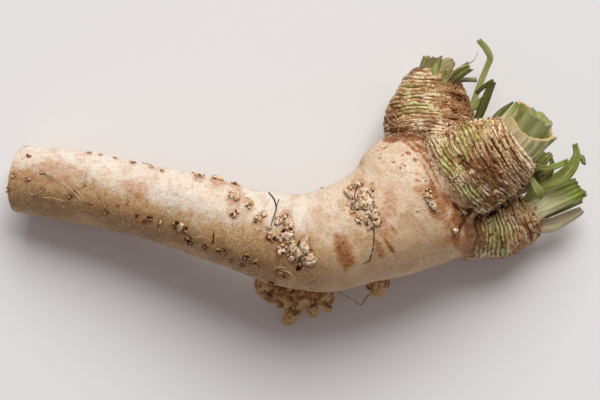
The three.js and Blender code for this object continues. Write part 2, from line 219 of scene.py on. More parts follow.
# Clusters of dormant buds: x, y, half length, half width, turn in degrees.
SMALL_BUDS_TO = -62  # nearer the thin end they are small and brown
FLANK_BUDS_TO = -15  # and from there to here they are darker on the lower side, away from the lamp, as painted shade
HIDDEN_WARTS = 46
WARTS = [
    [-141, 3.5, 1.3, 1.6, 0], [-144, -3.5, 1.4, 2.2, 0], [-134, 1.5, 1.6, 1.3, 20],
    [-127, 5, 1.4, 1.1, 0], [-126.5, -3, 1.2, 0.9, 0], [-113, -7, 1.6, 1.3, 0], [-111, -4, 1, 0.8, 0],
    [-105.5, -1.5, 1.1, 1, 0], [-102.5, -10.5, 1.3, 1, 0], [-98.5, -8, 0.9, 0.7, 0],
    [-95, -14.5, 1.3, 1.6, 0], [-89, -11.5, 1.1, 0.9, 0], [-84, -10, 0.8, 1.9, -10],
    [-79.5, -16.8, 1.4, 2.3, 0], [-76, -20, 1.2, 0.9, 0], [-73.5, -18, 2.2, 1.7, 20],
    [-68, -20.5, 1.2, 2.4, -15], [-59.5, -21.5, 2.1, 2.1, 0], [-55.5, -23.8, 1.8, 2, -30],
    [-53.5, -28.8, 2.8, 2.4, -20], [-45.3, -32, 1.6, 2.2, 0], [-36.8, -34.5, 3.2, 2.1, -10],
    [-32.5, -39.3, 1.2, 1.1, 0], [-24.5, -37.6, 2.2, 2, 0], [-19.6, -40.4, 2.9, 1.8, -12],
    [-27, -41.6, 1.3, 1.2, 0], [-48.5, 2.75, 2.6, 1.8, -30], [-51, 5.2, 0.8, 0.8, 0],
    [-39, 1.2, 3, 2.4, -10], [-30.3, -1, 2.4, 2.2, 0], [-30.5, -7, 3.4, 2.7, -20],
    [-30.5, -16, 2.4, 2.1, 0], [-23.3, -12, 1.7, 2.6, 20], [-19.2, -18.5, 2.2, 2.7, -30],
    [-16.4, -16.2, 1.7, 1.5, 0], [-12, -27.5, 2.2, 2.6, 20], [-5.5, -18.6, 3.4, 2.9, 60],
    [-3.6, -22.6, 2.2, 2.6, 0], [-7.5, -28, 1.9, 2.2, 0], [-6, -33.5, 3.2, 2.6, 30],
    [-0.6, -34.6, 2.6, 2.2, 0], [0.8, -40.6, 2, 1.6, 0], [-7.6, -45.6, 3.4, 1.9, -25],
    [-12.4, -50, 1.6, 1.2, 0], [28, -3, 2, 1.8, 0], [33, -8, 2.2, 2, 0], [37, -9.4, 1.8, 2.4, 20],
    [28.6, -14.6, 1.5, 2, 0], [40.6, -15.4, 1.6, 2.4, 10], [-2.6, -29.8, 2.2, 1.8, 0],
    [3.4, -29.6, 1.7, 2, 0], [0.8, -37, 1.8, 1.8, 0], [7.4, -34, 1.2, 2.4, 10], [31, -1.2, 2.8, 2, 10],
    [38.2, -3.4, 1.4, 2.4, 0], [29.2, -11.4, 1.5, 2.6, -30], [31.4, -18.4, 1.9, 2.4, 0],
    [40.4, -19.6, 3.4, 2.2, -10], [37, -23, 1.8, 1.5, 0], [66, -4.4, 1.8, 2.2, 0],
    [64.6, -6.6, 1.2, 1.6, 0], [68.4, -9.4, 1.3, 2, 20], [70.2, -14.4, 1.3, 1.2, 0],
    [79.8, -23.8, 2.6, 1.9, -20], [83, -15, 3, 2, -30], [73.5, 29, 2.6, 2, -20],
    [103.5, -20, 1.8, 1.9, 0], [-135.3, 19, 1.6, 1.2, 0], [-103.5, 14.5, 1.4, 0.9, -10],
    [-98, 13.6, 1.2, 0.8, -10], [-90.5, 12, 1.2, 0.9, -15], [-81.5, 9.6, 1.6, 1.1, -15],
    [-72.5, 7.4, 1.4, 0.9, -15], [-67, 5.6, 1.2, 0.9, -15], [-47, 3.4, 1.6, 1.2, 0],
]
# Smooth pale swellings among them: x, y, half length, half width, turn, how far they stand up.
BUDS = [
    [-13.2, -22.8, 1.5, 1.4, 0, 1.5], [-9.4, -18.4, 1.6, 3.4, -10, 1.4], [-2.6, -20.8, 1.8, 2.2, 0, 1.6],
    [3.8, -33.8, 3.2, 6, -8, 3], [6.8, -38.6, 3.4, 3.6, 15, 2.8], [-3.4, -27, 3.4, 3, 20, 2.2],
    [-1.2, -33, 2.2, 3.4, 0, 2.2], [-2.4, -37.4, 1.8, 2.6, 30, 2], [26.3, -6.5, 4.4, 1.2, -55, 2.2],
    [34.2, -4.6, 2, 2.6, 0, 2.2], [34.4, -10.4, 4.6, 4.4, -60, 2.6], [38.6, -15.6, 3.4, 3, -50, 2.8],
    [30.6, -1.8, 2.2, 1.8, 0, 2], [35.6, -19.6, 1.6, 3, 10, 2.2], [66.6, -8.6, 2, 4.6, 28, 2.6],
    [68.6, -12, 1.5, 2.6, 40, 2.2], [79.4, -24, 1.9, 1.5, -10, 2.2], [-57.6, -22.2, 1.3, 2.6, -25, 1.4],
    [-67.6, -20, 0.7, 1.7, -15, 1.2], [-22, -10.6, 0.9, 2, 15, 1.3],
]
# Threads on the skin: radius, then x, y and lift of the points they pass.
PALE_THREADS = [
    [0.32, [-127, 5, 0.4], [-120.5, 2.2, 2.0], [-113, -2.8, 1.6], [-107.5, -8.4, 1.2],
    [-101.6, -10.4, 0.3]],
    [0.3, [-132.4, -6.4, 0.2], [-127.6, -4.8, 1.6], [-125.6, -3.4, 1.2], [-125.6, -0.6, 0.3]],
    [0.26, [-127.4, -7.6, 0.2], [-121, -7.6, 1.4], [-114.6, -9.8, 0.4]],
    [0.26, [-110.6, -3.4, 0.3], [-107, -6.4, 1.6], [-103.6, -10.4, 0.3]],
    [0.2, [-105.4, -1.4, 0.2], [-104.8, 3, 1.2], [-104.2, 6.6, 0.2]],
    [0.2, [-113.4, -6.4, 0.4], [-116, -5.4, 1.6], [-118.6, -3.6, 0.4]],
    [0.22, [-134, 1.6, 0.3], [-131.6, 3, 1.5], [-130, 4, 0.2]],
    [0.2, [-52.6, -27, 0.4], [-49, -27, 1.6], [-46.4, -26.8, 0.6]],
    [0.3, [-7, -43.6, 0.8], [-3, -44, 2.4], [-0.4, -48, 1.6], [1.8, -52, 0.4]],
    [0.22, [-12, -43.6, 0.4], [-8, -41.6, 2], [-3, -42.6, 1.2]],
    [0.24, [3, -42.6, 0.4], [6.6, -43, 1.6], [8.4, -45, 0.3]],
    [0.22, [38.6, -32.4, 0.3], [40.6, -36.6, 1.0], [38.4, -40.2, 0.8], [33, -43.8, 0.3]],
    [0.22, [60, -14.6, 0.2], [64, -13.6, 1.6], [67, -12, 0.6]],
    [0.3, [24.4, -3.6, 0.3], [27.6, -9, 3.0], [30, -13.6, 0.5]],
    [0.22, [47, 34, 3.4], [50.4, 28.6, 4.4], [55, 27, 4.2], [60, 31, 4.2], [64, 32.6, 3.4]],
    [0.2, [47.4, 27.4, 2.6], [52, 24.4, 4], [58, 28.4, 4.4], [61, 25.6, 3.2]],
    [0.22, [49, 33, 3.6], [52.4, 31.6, 4.6], [54, 26.4, 4], [51, 22, 1.4]],
    [0.2, [63, 25.6, 3.4], [69.6, 22.4, 3.2], [74, 16.4, 2.4], [78.6, 11.6, 2.2]],
    [0.2, [56, 23.4, 2], [64, 20.4, 2.2], [70.4, 15, 1.6], [73.6, 9.4, 1.2]],
]
DARK_THREADS = [
    [0.42, [-13.6, -5.6, 0.2], [-10.6, -9.6, 0.4], [-9.9, -13.6, 0.5], [-11, -18, 1.2],
    [-12.6, -23, 0.6]],
    [0.24, [-8.4, -9.0, 0.5], [-9.4, -12, 0.9], [-9.8, -15, 0.4]],
    [0.34, [38.9, -22, 0.6], [39, -26.4, 0.3], [38.6, -32, 0.2], [37.6, -36.4, 0.2]],
    [0.34, [37.6, -36.4, 0.2], [36.6, -39, 0.6], [33.8, -40.6, 0.4]],
    [0.3, [31, -2.6, 1.2], [29.6, -7.4, 0.8], [31.4, -12.8, 0.6]],
    [0.26, [32.6, -0.4, 1.4], [37.4, -7.6, 1.6], [41, -14.6, 0.6]],
]


# ------------------------------------------------------------------ leaf stalks and side roots
# Some stalks are paler (above 0) or darker (below 0) than others of their kind.
TONES = {
    "leaf_stalk_a1": -0.4,
    "leaf_stalk_a2": -0.1,
    "leaf_stalk_a4": 0.25,
    "leaf_stalk_a6": 0.2,
    "leaf_stalk_a7": -0.55,
    "leaf_stalk_c3": 0.35,
    "leaf_stalk_c5": -0.4,
    "leaf_bit_7": 0.3,
}
# How far the right side of a stalk's end reaches past its left side.
SLANTS = {"leaf_stalk_a1": -1.6, "leaf_stalk_c1": -1.2}
# The rings of a stalk's cut face: how far in towards its middle, and how deep.
CUT_FACE = [[0.12, 0], [0.4, 0.7], [0.75, 1]]
# Colours of their foot, end, streaks and cut face, and how spotted they are.
SHOOT_COLOURS = {
    "stalk_green": [(172, 176, 94), (124, 142, 50), (186, 196, 122), (160, 170, 84), 0.3],
    "stalk_pale_green": [(244, 234, 196), (104, 130, 10), (222, 226, 120), (98, 108, 38), 0.3],
    "stalk_dark_green": [(92, 90, 40), (98, 106, 38), (134, 142, 70), (140, 148, 76), 0.3],
    "stalk_olive": [(190, 170, 126), (152, 140, 88), (206, 196, 158), (128, 104, 64), 0.6],
}
# Each: slot, depth of its channel, ribs around it, how ragged its end is, and its stations.
STALKS = {
    "leaf_stalk_a1": ["stalk_olive", 0.55, 8, 1.2, [
        [66, 51, 22, 4.6, 3.4], [67.2, 57.5, 24.4, 5.2, 3.4], [68.6, 62.6, 25.4, 4.6, 2.8],
    ]],
    "leaf_stalk_a2": ["stalk_olive", 0.1, 14, 0.5, [
        [71.4, 50, 20, 4.4, 3.6], [74, 56, 22.4, 4.4, 3.4], [77, 59.4, 23.2, 3.6, 2.6],
        [79.6, 60.4, 23.2, 1.6, 1.4],
    ]],
    "leaf_stalk_a3": ["stalk_dark_green", 0.5, 12, 0.9, [
        [75, 49, 27, 2.4, 2.6], [81, 54, 29, 2.8, 2.6], [86.8, 57.8, 30, 2.5, 2.3],
    ]],
    "leaf_stalk_a4": ["stalk_dark_green", 0.0, 8, 0.6, [
        [78, 49, 21, 0.9, 1], [84, 51.4, 22, 1.1, 1], [91, 51.4, 22.5, 1.1, 0.9],
    ]],
    "leaf_stalk_a5": ["stalk_green", 0.0, 8, 0.3, [
        [74.8, 47, 28, 2.0, 1.8], [74.2, 49.6, 31.4, 1.7, 1.6], [73.8, 52.4, 33, 1.0, 1],
        [75.2, 56, 34.6, 0.5, 0.5],
    ]],
    "leaf_stalk_a6": ["stalk_green", 0.3, 8, 0.8, [
        [87.6, 34, 17, 1.3, 1.2], [91.4, 46, 20, 1.4, 1.2], [96, 58, 23.6, 1.5, 1.3],
        [97.6, 62.4, 25, 1.5, 1.2], [95.4, 67, 27, 1.6, 1.1], [91.6, 71.2, 28.6, 1.2, 0.9],
    ]],
    "leaf_stalk_a7": ["stalk_dark_green", 0.4, 10, 0.8, [
        [89.6, 28, 29.6, 2.0, 1.7], [94, 39, 34, 2.1, 1.7], [98.2, 50, 37, 1.8, 1.5],
    ]],
    "leaf_stalk_a8": ["stalk_green", 0.3, 6, 0.6, [
        [87, 36.5, 26, 1.4, 0.8], [90.6, 38.6, 27.6, 2.2, 0.9], [94.6, 41.8, 28.5, 1.6, 0.6],
    ]],
    "leaf_stalk_b1": ["stalk_dark_green", 0.3, 6, 0.4, [
        [96, 29, 46.6, 1.0, 0.7], [101.6, 34.4, 49, 1.6, 0.6], [107.8, 39.6, 50.5, 0.4, 0.3],
    ]],
    "leaf_stalk_c1": ["stalk_pale_green", 0.35, 11, 1.4, [
        [115, -16.4, 24, 6.0, 4.4], [122, -12, 25.4, 6.2, 4], [133, -7, 27, 5.9, 3.2],
        [142.6, -2.6, 28, 5.6, 2.8],
    ]],
    "leaf_stalk_c2": ["stalk_green", 0.5, 10, 0.6, [
        [114, -10.6, 24.6, 1.8, 1.5], [118.8, -5.6, 30.4, 2.4, 1.7], [125.2, -0.9, 33.6, 3.3, 1.8],
        [133, 2.6, 36, 3.6, 1.6], [138, 8.4, 38, 3.0, 1.4], [140, 13.6, 39.4, 1.9, 1.1],
        [139, 19, 40.4, 1.2, 0.9],
    ]],
    "leaf_stalk_c3": ["stalk_olive", 0.5, 12, 0.8, [
        [118, -22, 17, 4.2, 3.2], [129, -21.4, 18, 3.6, 2.6], [137.6, -17.4, 18.6, 2.8, 2.1],
        [144, -14, 19, 1.9, 1.5],
    ]],
    "leaf_stalk_c4": ["stalk_dark_green", 0.4, 10, 0.8, [
        [119, -17, 15, 3.6, 2.8], [131, -13, 14, 3.4, 2.4], [144, -7.8, 13.5, 2.8, 2],
    ]],
    "leaf_stalk_c5": ["stalk_olive", 0.4, 12, 0.8, [
        [109.6, -4, 30, 3.4, 2.2], [115, -0.6, 32, 4.4, 2.4], [120.5, 3.4, 33, 4, 2],
        [124.6, 8, 33.4, 3, 1.6],
    ]],
    "leaf_stalk_c6": ["stalk_green", 0.3, 6, 0.4, [
        [114, 4.6, 37, 1.6, 1], [118.6, 7.6, 39.4, 1.7, 1], [124, 6.8, 41, 1.5, 0.9],
        [130, 8, 42, 1.5, 0.8], [135.4, 10.6, 42.4, 1.1, 0.7],
    ]],
    "leaf_stalk_c7": ["stalk_olive", 0.3, 6, 0.8, [
        [117.5, 5, 33, 2.6, 1.5], [122, 9, 34.5, 2.8, 1.4], [127.4, 14, 36, 1.6, 0.9],
    ]],
}
# Leaf remains with no node of their own, in the same form.
LEAF_BITS = {
    "leaf_bit_1": ["stalk_green", 0.5, 6, 0.9, [
        [117.4, 2, 38, 1.2, 0.8], [119.6, -2.6, 39.6, 2.0, 0.9], [121.4, -5.4, 39.4, 2.2, 0.8],
        [122, -8, 37.6, 0.9, 0.5],
    ]],
    "leaf_bit_2": ["stalk_dark_green", 0.4, 6, 0.9, [
        [121, 2, 36, 2.0, 0.9], [125.6, 5, 36.6, 2.6, 0.9], [128, 8.4, 36.6, 1.5, 0.7],
        [127.4, 12, 36.8, 0.8, 0.5],
    ]],
    "leaf_bit_3": ["stalk_dark_green", 0.3, 6, 0.9, [
        [139.4, 10, 38.6, 0.9, 0.6], [142.4, 12.4, 38.8, 1.4, 0.7], [143.6, 9.4, 38.4, 1.0, 0.5],
    ]],
    "leaf_bit_4": ["stalk_dark_green", 0.3, 6, 0.5, [
        [90.4, 44.4, 30, 0.8, 0.5], [93.6, 47.4, 33, 1.0, 0.6], [98.4, 50.6, 38, 1.0, 0.6],
    ]],
    "leaf_bit_5": ["stalk_green", 0.2, 8, 0.5, [
        [70.2, 52, 29, 1.6, 1.4], [69.6, 56, 30, 1.7, 1.3], [70.6, 59.6, 30, 1.0, 0.9],
    ]],
    "leaf_bit_7": ["stalk_green", 0.5, 10, 0.9, [
        [111, 18.6, 51, 6.5, 5], [117, 27, 56.6, 7.4, 5], [120.6, 32, 60.4, 7.2, 4.2],
    ]],
    "leaf_bit_8": ["stalk_green", 0.4, 6, 1.8, [
        [117.6, 6.4, 36.4, 2.2, 1], [121.4, 10.4, 38.6, 2.9, 1], [124.6, 14, 39.6, 2.0, 0.8],
    ]],
    "leaf_bit_6": ["stalk_pale_green", 0.3, 8, 0.6, [
        [101, 27, 52, 2.4, 1.2], [106.4, 33, 55.4, 2.6, 1.2], [110, 38.6, 56.6, 1.6, 0.8],
    ]],
}
SIDE_ROOTS = {
    "side_root_stub_1": [
        [-10, -40, 25, 5, 4.6], [-15.6, -48.6, 22, 4.2, 4.4], [-15.6, -53.6, 19, 4.2, 4.2],
        [-9, -57.6, 16, 4.4, 4], [-3, -60, 13.4, 3.2, 2.8],
    ],
    "side_root_stub_2": [
        [3.6, -48, 24, 5, 5], [1.6, -58, 15, 4.4, 4.2], [-1.6, -65.4, 8, 3.9, 3.6],
        [-4.8, -71, 4.4, 2.9, 2.6],
    ],
    "side_root_stub_3": [[5.6, -48, 25, 5, 5], [6.8, -57, 18, 4.2, 3.8], [8.6, -67.4, 10, 2.1, 2]],
    "side_root_stub_4": [[12.6, -48, 24, 5, 4.6], [14.4, -57, 18, 4.2, 4.2], [16, -64.6, 13.6, 1.8, 1.8]],
    "side_root_stub_5": [[40.6, -42, 26, 5, 5], [42, -49.4, 20, 4.8, 4.8], [40.4, -55.4, 15, 4, 3.6]],
}
# Threads that hang free: their radius and the points they pass.
FREE_THREADS = {
    "rootlet_5": [0.5, [
        [41, -56, 15], [36, -57.6, 13.4], [33, -62, 12], [29, -59.6, 13], [25, -57.4, 15], [20, -54, 18],
    ]],
    "rootlet_6": [0.42, [
        [75, 50, 31.6], [79.6, 56, 35], [85.4, 58.6, 36], [89, 61, 36.6], [91, 65.4, 37],
    ]],
}
# Tufts of root hairs: how many, x, y, how far they spread and how long they are.
HAIRS = [
    [16, 48.5, 31, 3, 4.5], [10, 57, 25, 4, 4], [6, 66, 26, 4, 4.5], [8, 78, -24, 3, 3],
    [6, 84, -19, 3, 4], [6, 33, -10, 4, 3], [8, -4, -30, 6, 3.5], [5, -30, -8, 3, 2.5],
    [6, -66, -20, 8, 2], [6, -110, -4, 10, 2],
]
BARK_KNOBS = [
    [120.6, -12.6, 26.4, 1.9], [121.6, -16, 25.6, 2.1], [-13, -50, 24, 3.4], [-8.6, -53, 20, 3.6],
    [-2.6, -53.6, 22, 3.8], [3.4, -53.6, 22, 3.4], [9.6, -54.4, 21, 3.6], [15.6, -53, 21, 3.4],
    [17.2, -59, 17, 2.6], [-8, -60.6, 15.4, 2.2], [45, -51.6, 19, 2.4], [37.4, -53, 17, 2.2],
]
# The open sheath on the second head.
SHEATH = [
    [104, 13.6, 48, 12.2, 11],
    [112, 22.5, 53, 12.9, 10.8],
    [119.4, 31.8, 57.8, 13, 9.8],
]
SHEATH_RADIUS = 12
SHEATH_LENGTH = 24
SHEATH_WALL = 2.0
SHEATH_ROWS = [34, 24]  # of its mesh, up the outside and down the inside
# How far along the sheath its torn rim lies, by the angle around it in degrees; its top is at 90.
SHEATH_RIM = [
    [0, 14.5], [8, 14.2], [22, 17], [34, 19.6], [48, 18.8], [66, 18.2], [90, 17.8], [112, 18.2],
    [135, 20.2], [155, 22.8], [168, 25.2], [178, 23.4], [190, 21], [215, 22.6], [245, 24],
    [270, 25.4], [295, 24.2], [320, 25.2], [340, 25.6], [352, 23], [360, 14.5],
]


# ------------------------------------------------------------------ noise and small sums
NOISE_VALUES = 4096


def lattice_noise(points, size, seed):
    """Smooth noise between -1 and 1 at each point, its lumps about size across."""
    table = np.random.RandomState(seed).uniform(-1, 1, NOISE_VALUES)
    scaled = np.asarray(points, float) / size
    cell = np.floor(scaled).astype(np.int64)
    part = scaled - cell
    part = part * part * (3 - 2 * part)
    total = np.zeros(scaled.shape[:-1])
    for corner in np.ndindex(2, 2, 2):
        at = cell + np.array(corner)
        key = (at[..., 0] * 73856093) ^ (at[..., 1] * 19349663) ^ (at[..., 2] * 83492791)
        weight = np.prod(np.where(np.array(corner), part, 1 - part), axis=-1)
        total += weight * table[key % NOISE_VALUES]
    return total


def fractal_noise(points, size, seed):
    """Noise with finer noise on top of it, still about -1 to 1."""
    return sum(lattice_noise(points, size / 2**i, seed + i) / 2**i for i in range(3)) / 1.4


def smoothstep(low, high, value):
    """0 below low, 1 above high and smooth between."""
    t = np.clip((value - low) / (high - low), 0, 1)
    return t * t * (3 - 2 * t)


def unit(vectors):
    """Each vector at length 1."""
    vectors = np.asarray(vectors, float)
    return vectors / np.maximum(np.linalg.norm(vectors, axis=-1, keepdims=True), 1e-12)


def seen(points):
    """Where the camera sees each point, as x and y on the level MARK_HEIGHT."""
    share = (CAMERA[2] - MARK_HEIGHT) / (CAMERA[2] - points[..., 2:])
    return CAMERA[:2] + (points[..., :2] - CAMERA[:2]) * share


def blots(spots, rows, rough=None):
    """The strongest blot at each seen position: ellipses that fade out at ragged edges."""
    if rough is None:
        rough = 0.4 * lattice_noise(np.concatenate([spots, 0 * spots[..., :1]], -1), 2.5, 77)
    share = np.zeros(spots.shape[:-1])
    for x, y, along, across, turn, strength in rows:
        cos, sin = math.cos(math.radians(turn)), math.sin(math.radians(turn))
        u = (spots[..., 0] - x) * cos + (spots[..., 1] - y) * sin
        v = (spots[..., 1] - y) * cos - (spots[..., 0] - x) * sin
        inside = 1 - smoothstep(0.55, 1.25, np.hypot(u / along, v / across) + rough)
        share = np.maximum(share, strength * inside)
    return share


# ------------------------------------------------------------------ limbs
CHUNK = 20000  # points that are placed on a limb at a time, to spare memory
OUTSIDE = 90  # well outside every limb


def smooth_curve(knots, steps=16):
    """Rows on a smooth curve through the knots, whose first three numbers are a point."""
    knots = np.array(knots, float)
    padded = np.vstack([2 * knots[0] - knots[1], knots, 2 * knots[-1] - knots[-2]])
    gaps = np.sqrt(np.linalg.norm(np.diff(padded[:, :3], axis=0), axis=1))[:, None]
    t = np.linspace(0, 1, steps, endpoint=False)[:, None]
    rows = []
    for i in range(1, len(padded) - 2):
        before, here, there, after = padded[i - 1 : i + 3]
        g0, g1, g2 = gaps[i - 1 : i + 2]
        leave = ((here - before) / g0 - (there - before) / (g0 + g1) + (there - here) / g1) * g1
        arrive = ((there - here) / g1 - (after - here) / (g1 + g2) + (after - there) / g2) * g1
        square, cube = t * t, t * t * t
        rows.append(
            (2 * cube - 3 * square + 1) * here
            + (cube - 2 * square + t) * leave
            + (3 * square - 2 * cube) * there
            + (cube - square) * arrive
        )
    return np.vstack([*rows, knots[-1:]])


class Limb:
    """A tapering limb. Its sections are square to its middle line, or face as faces says."""

    def __init__(self, stations, faces=None):
        curve = smooth_curve(stations)
        self.centre, self.half = curve[:, :3], curve[:, 3:]
        steps = np.linalg.norm(np.diff(self.centre, axis=0), axis=1)
        self.distance = np.r_[0, np.cumsum(steps)]
        self.length = self.distance[-1]
        if faces is None:
            self.axis = unit(np.gradient(self.centre, axis=0))
        else:
            share = (self.distance / self.length)[:, None]
            self.axis = unit((1 - share) * np.array(faces[0]) + share * np.array(faces[1]))
        self.level = unit(np.cross([0, 0, 1], self.axis))
        self.up = np.cross(self.axis, self.level)

    def read(self, rows, distance):
        """Rows of one of the limb's tables at any distances along it."""
        flat = np.ravel(distance)
        columns = [np.interp(flat, self.distance, column) for column in rows.T]
        return np.stack(columns, -1).reshape(*np.shape(distance), -1)

    def surface(self, distance, angle, grow=0.0):
        """Points of its skin at distances along it and angles around it, moved out by grow."""
        half = self.read(self.half, distance) + np.asarray(grow)[..., None]
        side = (half[..., 0] * np.cos(angle))[..., None] * self.read(self.level, distance)
        top = (half[..., 1] * np.sin(angle))[..., None] * self.read(self.up, distance)
        past = np.asarray(distance) - np.clip(distance, 0, self.length)
        return self.read(self.centre, distance) + side + top + past[..., None] * self.axis[-1]

    def place_of(self, points):
        """How far along the limb each point is, and at what angle around it."""
        nearest = np.empty(len(points), int)
        for start in range(0, len(points), CHUNK):
            part = points[start : start + CHUNK, None] - self.centre[None]
            nearest[start : start + CHUNK] = np.argmin((part**2).sum(-1), axis=1)
        offset = points - self.centre[nearest]
        across = (offset * self.level[nearest]).sum(-1)
        upward = (offset * self.up[nearest]).sum(-1)
        along = self.distance[nearest] + (offset * self.axis[nearest]).sum(-1)
        return along, np.arctan2(upward, across)


taproot = Limb(TAPROOT)
heads = {letter: Limb(head["stations"], head["faces"]) for letter, head in HEADS.items()}


# ------------------------------------------------------------------ meshes
def new_object(name, points, faces):
    """A smooth mesh object from points in millimetres."""
    mesh = bpy.data.meshes.new(name)
    mesh.from_pydata(np.asarray(points) * MM, [], faces)
    mesh.polygons.foreach_set("use_smooth", np.ones(len(mesh.polygons), bool))
    mesh.update()
    piece = bpy.data.objects.new(name, mesh)
    bpy.context.scene.collection.objects.link(piece)
    return piece


def set_attribute(mesh, name, values):
    """A number or a vector for each vertex, which the materials read by name."""
    values = np.asarray(values, np.float32)
    kind, key = ("FLOAT", "value") if values.ndim == 1 else ("FLOAT_VECTOR", "vector")
    attribute = mesh.attributes.new(name, kind, "POINT")
    attribute.data.foreach_set(key, values.ravel())


def round_angles(count):
    """Angles around a whole turn, in one row."""
    return np.linspace(0, 2 * math.pi, count, endpoint=False)[None]


def closed_tube(grid):
    """The points and faces of a tube of rows of points, with a fan over each end."""
    rows, columns, _ = grid.shape
    points = np.vstack([grid.reshape(-1, 3), grid[0].mean(0), grid[-1].mean(0)])
    row, column = np.meshgrid(np.arange(rows - 1), np.arange(columns), indexing="ij")
    here = row * columns + column
    beside = row * columns + (column + 1) % columns
    faces = np.stack([here, beside, beside + columns, here + columns], -1).reshape(-1, 4).tolist()
    last = (rows - 1) * columns
    for j in range(columns):
        beside = (j + 1) % columns
        faces.append([beside, j, rows * columns])
        faces.append([last + j, last + beside, rows * columns + 1])
    return points, faces


def ended(values, first=0.0, last=0.0):
    """A mask for a closed tube's points, from its rows and what it is in the middle of each end."""
    flat = values.reshape(-1, *values.shape[2:])
    return np.concatenate([flat, *(np.broadcast_to(end, flat[:1].shape) for end in (first, last))])


class Heap:
    """Closed shapes gathered into one mesh, with masks for its points."""

    def __init__(self):
        self.points, self.faces, self.masks, self.count = [], [], {}, 0

    def add(self, points, faces, **masks):
        self.points.append(points)
        self.faces += [[i + self.count for i in face] for face in faces]
        self.count += len(points)
        for name, values in masks.items():
            self.masks.setdefault(name, []).append(values)

    def make(self, name, lowest=0.0):
        """Makes the mesh, with nothing under the table unless lowest says so."""
        points = np.vstack(self.points)
        points[:, 2] = np.maximum(points[:, 2], lowest)
        piece = new_object(name, points, self.faces)
        for mask, values in self.masks.items():
            set_attribute(piece.data, mask, np.concatenate(values))
        return piece


def points_and_normals(mesh):
    """A mesh's vertices in millimetres and the ways they face."""
    points, normals = np.empty((2, len(mesh.vertices) * 3))
    mesh.vertices.foreach_get("co", points)
    mesh.vertex_normals.foreach_get("vector", normals)
    return points.reshape(-1, 3) / MM, normals.reshape(-1, 3)


def chip(point, size, random):
    """A thin irregular flake."""
    shape = np.vstack([np.eye(3), -np.eye(3)]) * [1.3, 0.8, 0.35] * size
    turn = np.linalg.qr(random.normal(size=(3, 3)))[0]
    shape = shape * random.uniform(0.6, 1.4, (6, 1)) @ turn
    sides = [(0, 1), (1, 3), (3, 4), (4, 0)]
    return point + shape, [[a, b, 2] for a, b in sides] + [[b, a, 5] for a, b in sides]


# ------------------------------------------------------------------ the skin
def skin_shape():
    """The taproot and its heads as one smooth body."""
    angle = round_angles(120)
    heap = Heap()
    for limb, grow in [(taproot, 0.0)] + [(limb, -CORE_INSET) for limb in heads.values()]:
        rows = np.linspace(0, limb.length, int(limb.length / 1.5))[:, None] + 0 * angle
        heap.add(*closed_tube(limb.surface(rows, angle + 0 * rows, grow)))
    piece = heap.make("root_skin", lowest=-np.inf)
    remesh = piece.modifiers.new("remesh", "REMESH")
    remesh.mode = "VOXEL"
    remesh.voxel_size = SKIN_VOXEL * MM
    soften = piece.modifiers.new("soften", "SMOOTH")
    soften.factor = 0.5
    soften.iterations = FILLET_ROUNDS
    shaped = bpy.data.meshes.new_from_object(piece.evaluated_get(bpy.context.evaluated_depsgraph_get()))
    piece.modifiers.clear()
    piece.data = shaped
    return piece


def grain_of(points):
    """Places in the skin's grain: around the taproot, as if it were GRAIN_RADIUS thick, and along it."""
    along, angle = taproot.place_of(points)
    return np.stack([GRAIN_RADIUS * np.cos(angle), GRAIN_RADIUS * np.sin(angle), along], -1)


def swell_skin(mesh):
    """Moves the skin out and in: lumps, bands around it and folds at the feet of the heads."""
    points, normals = points_and_normals(mesh)
    swell = 0.55 * lattice_noise(points, 17, 3) + 0.3 * fractal_noise(points, 7, 8)
    swell += 0.16 * fractal_noise(grain_of(points) * [0.25, 0.25, 1.6], 4, 21)
    for letter, limb in heads.items():
        reach = limb.place_of(points)[0] - HEADS[letter]["rings_from"] + 1.1 * lattice_noise(points, 6, 17)
        near = smoothstep(-13, -2, reach) * (1 - smoothstep(0, 2, reach))
        swell += 0.38 * near * np.cos(2 * math.pi * reach / 2.1) * (0.5 + lattice_noise(points, 8, 18))
    points += normals * swell[:, None]
    points[:, 2] = np.maximum(points[:, 2], 0.0)
    mesh.vertices.foreach_set("co", (points * MM).ravel())
    mesh.update()


def cut_thin_end(mesh):
    """Cuts the thin end off flat, as the knife did."""
    shape = bmesh.new()
    shape.from_mesh(mesh)
    cut = bmesh.ops.bisect_plane(
        shape,
        geom=shape.verts[:] + shape.edges[:] + shape.faces[:],
        plane_co=Vector(CUT_POINT) * MM,
        plane_no=Vector(CUT_FACES),
        clear_outer=True,
    )
    rim = [item for item in cut["geom_cut"] if isinstance(item, bmesh.types.BMEdge)]
    bmesh.ops.edgeloop_fill(shape, edges=rim)
    shape.to_mesh(mesh)
    shape.free()
    mesh.polygons.foreach_set("use_smooth", np.ones(len(mesh.polygons), bool))
    mesh.update()


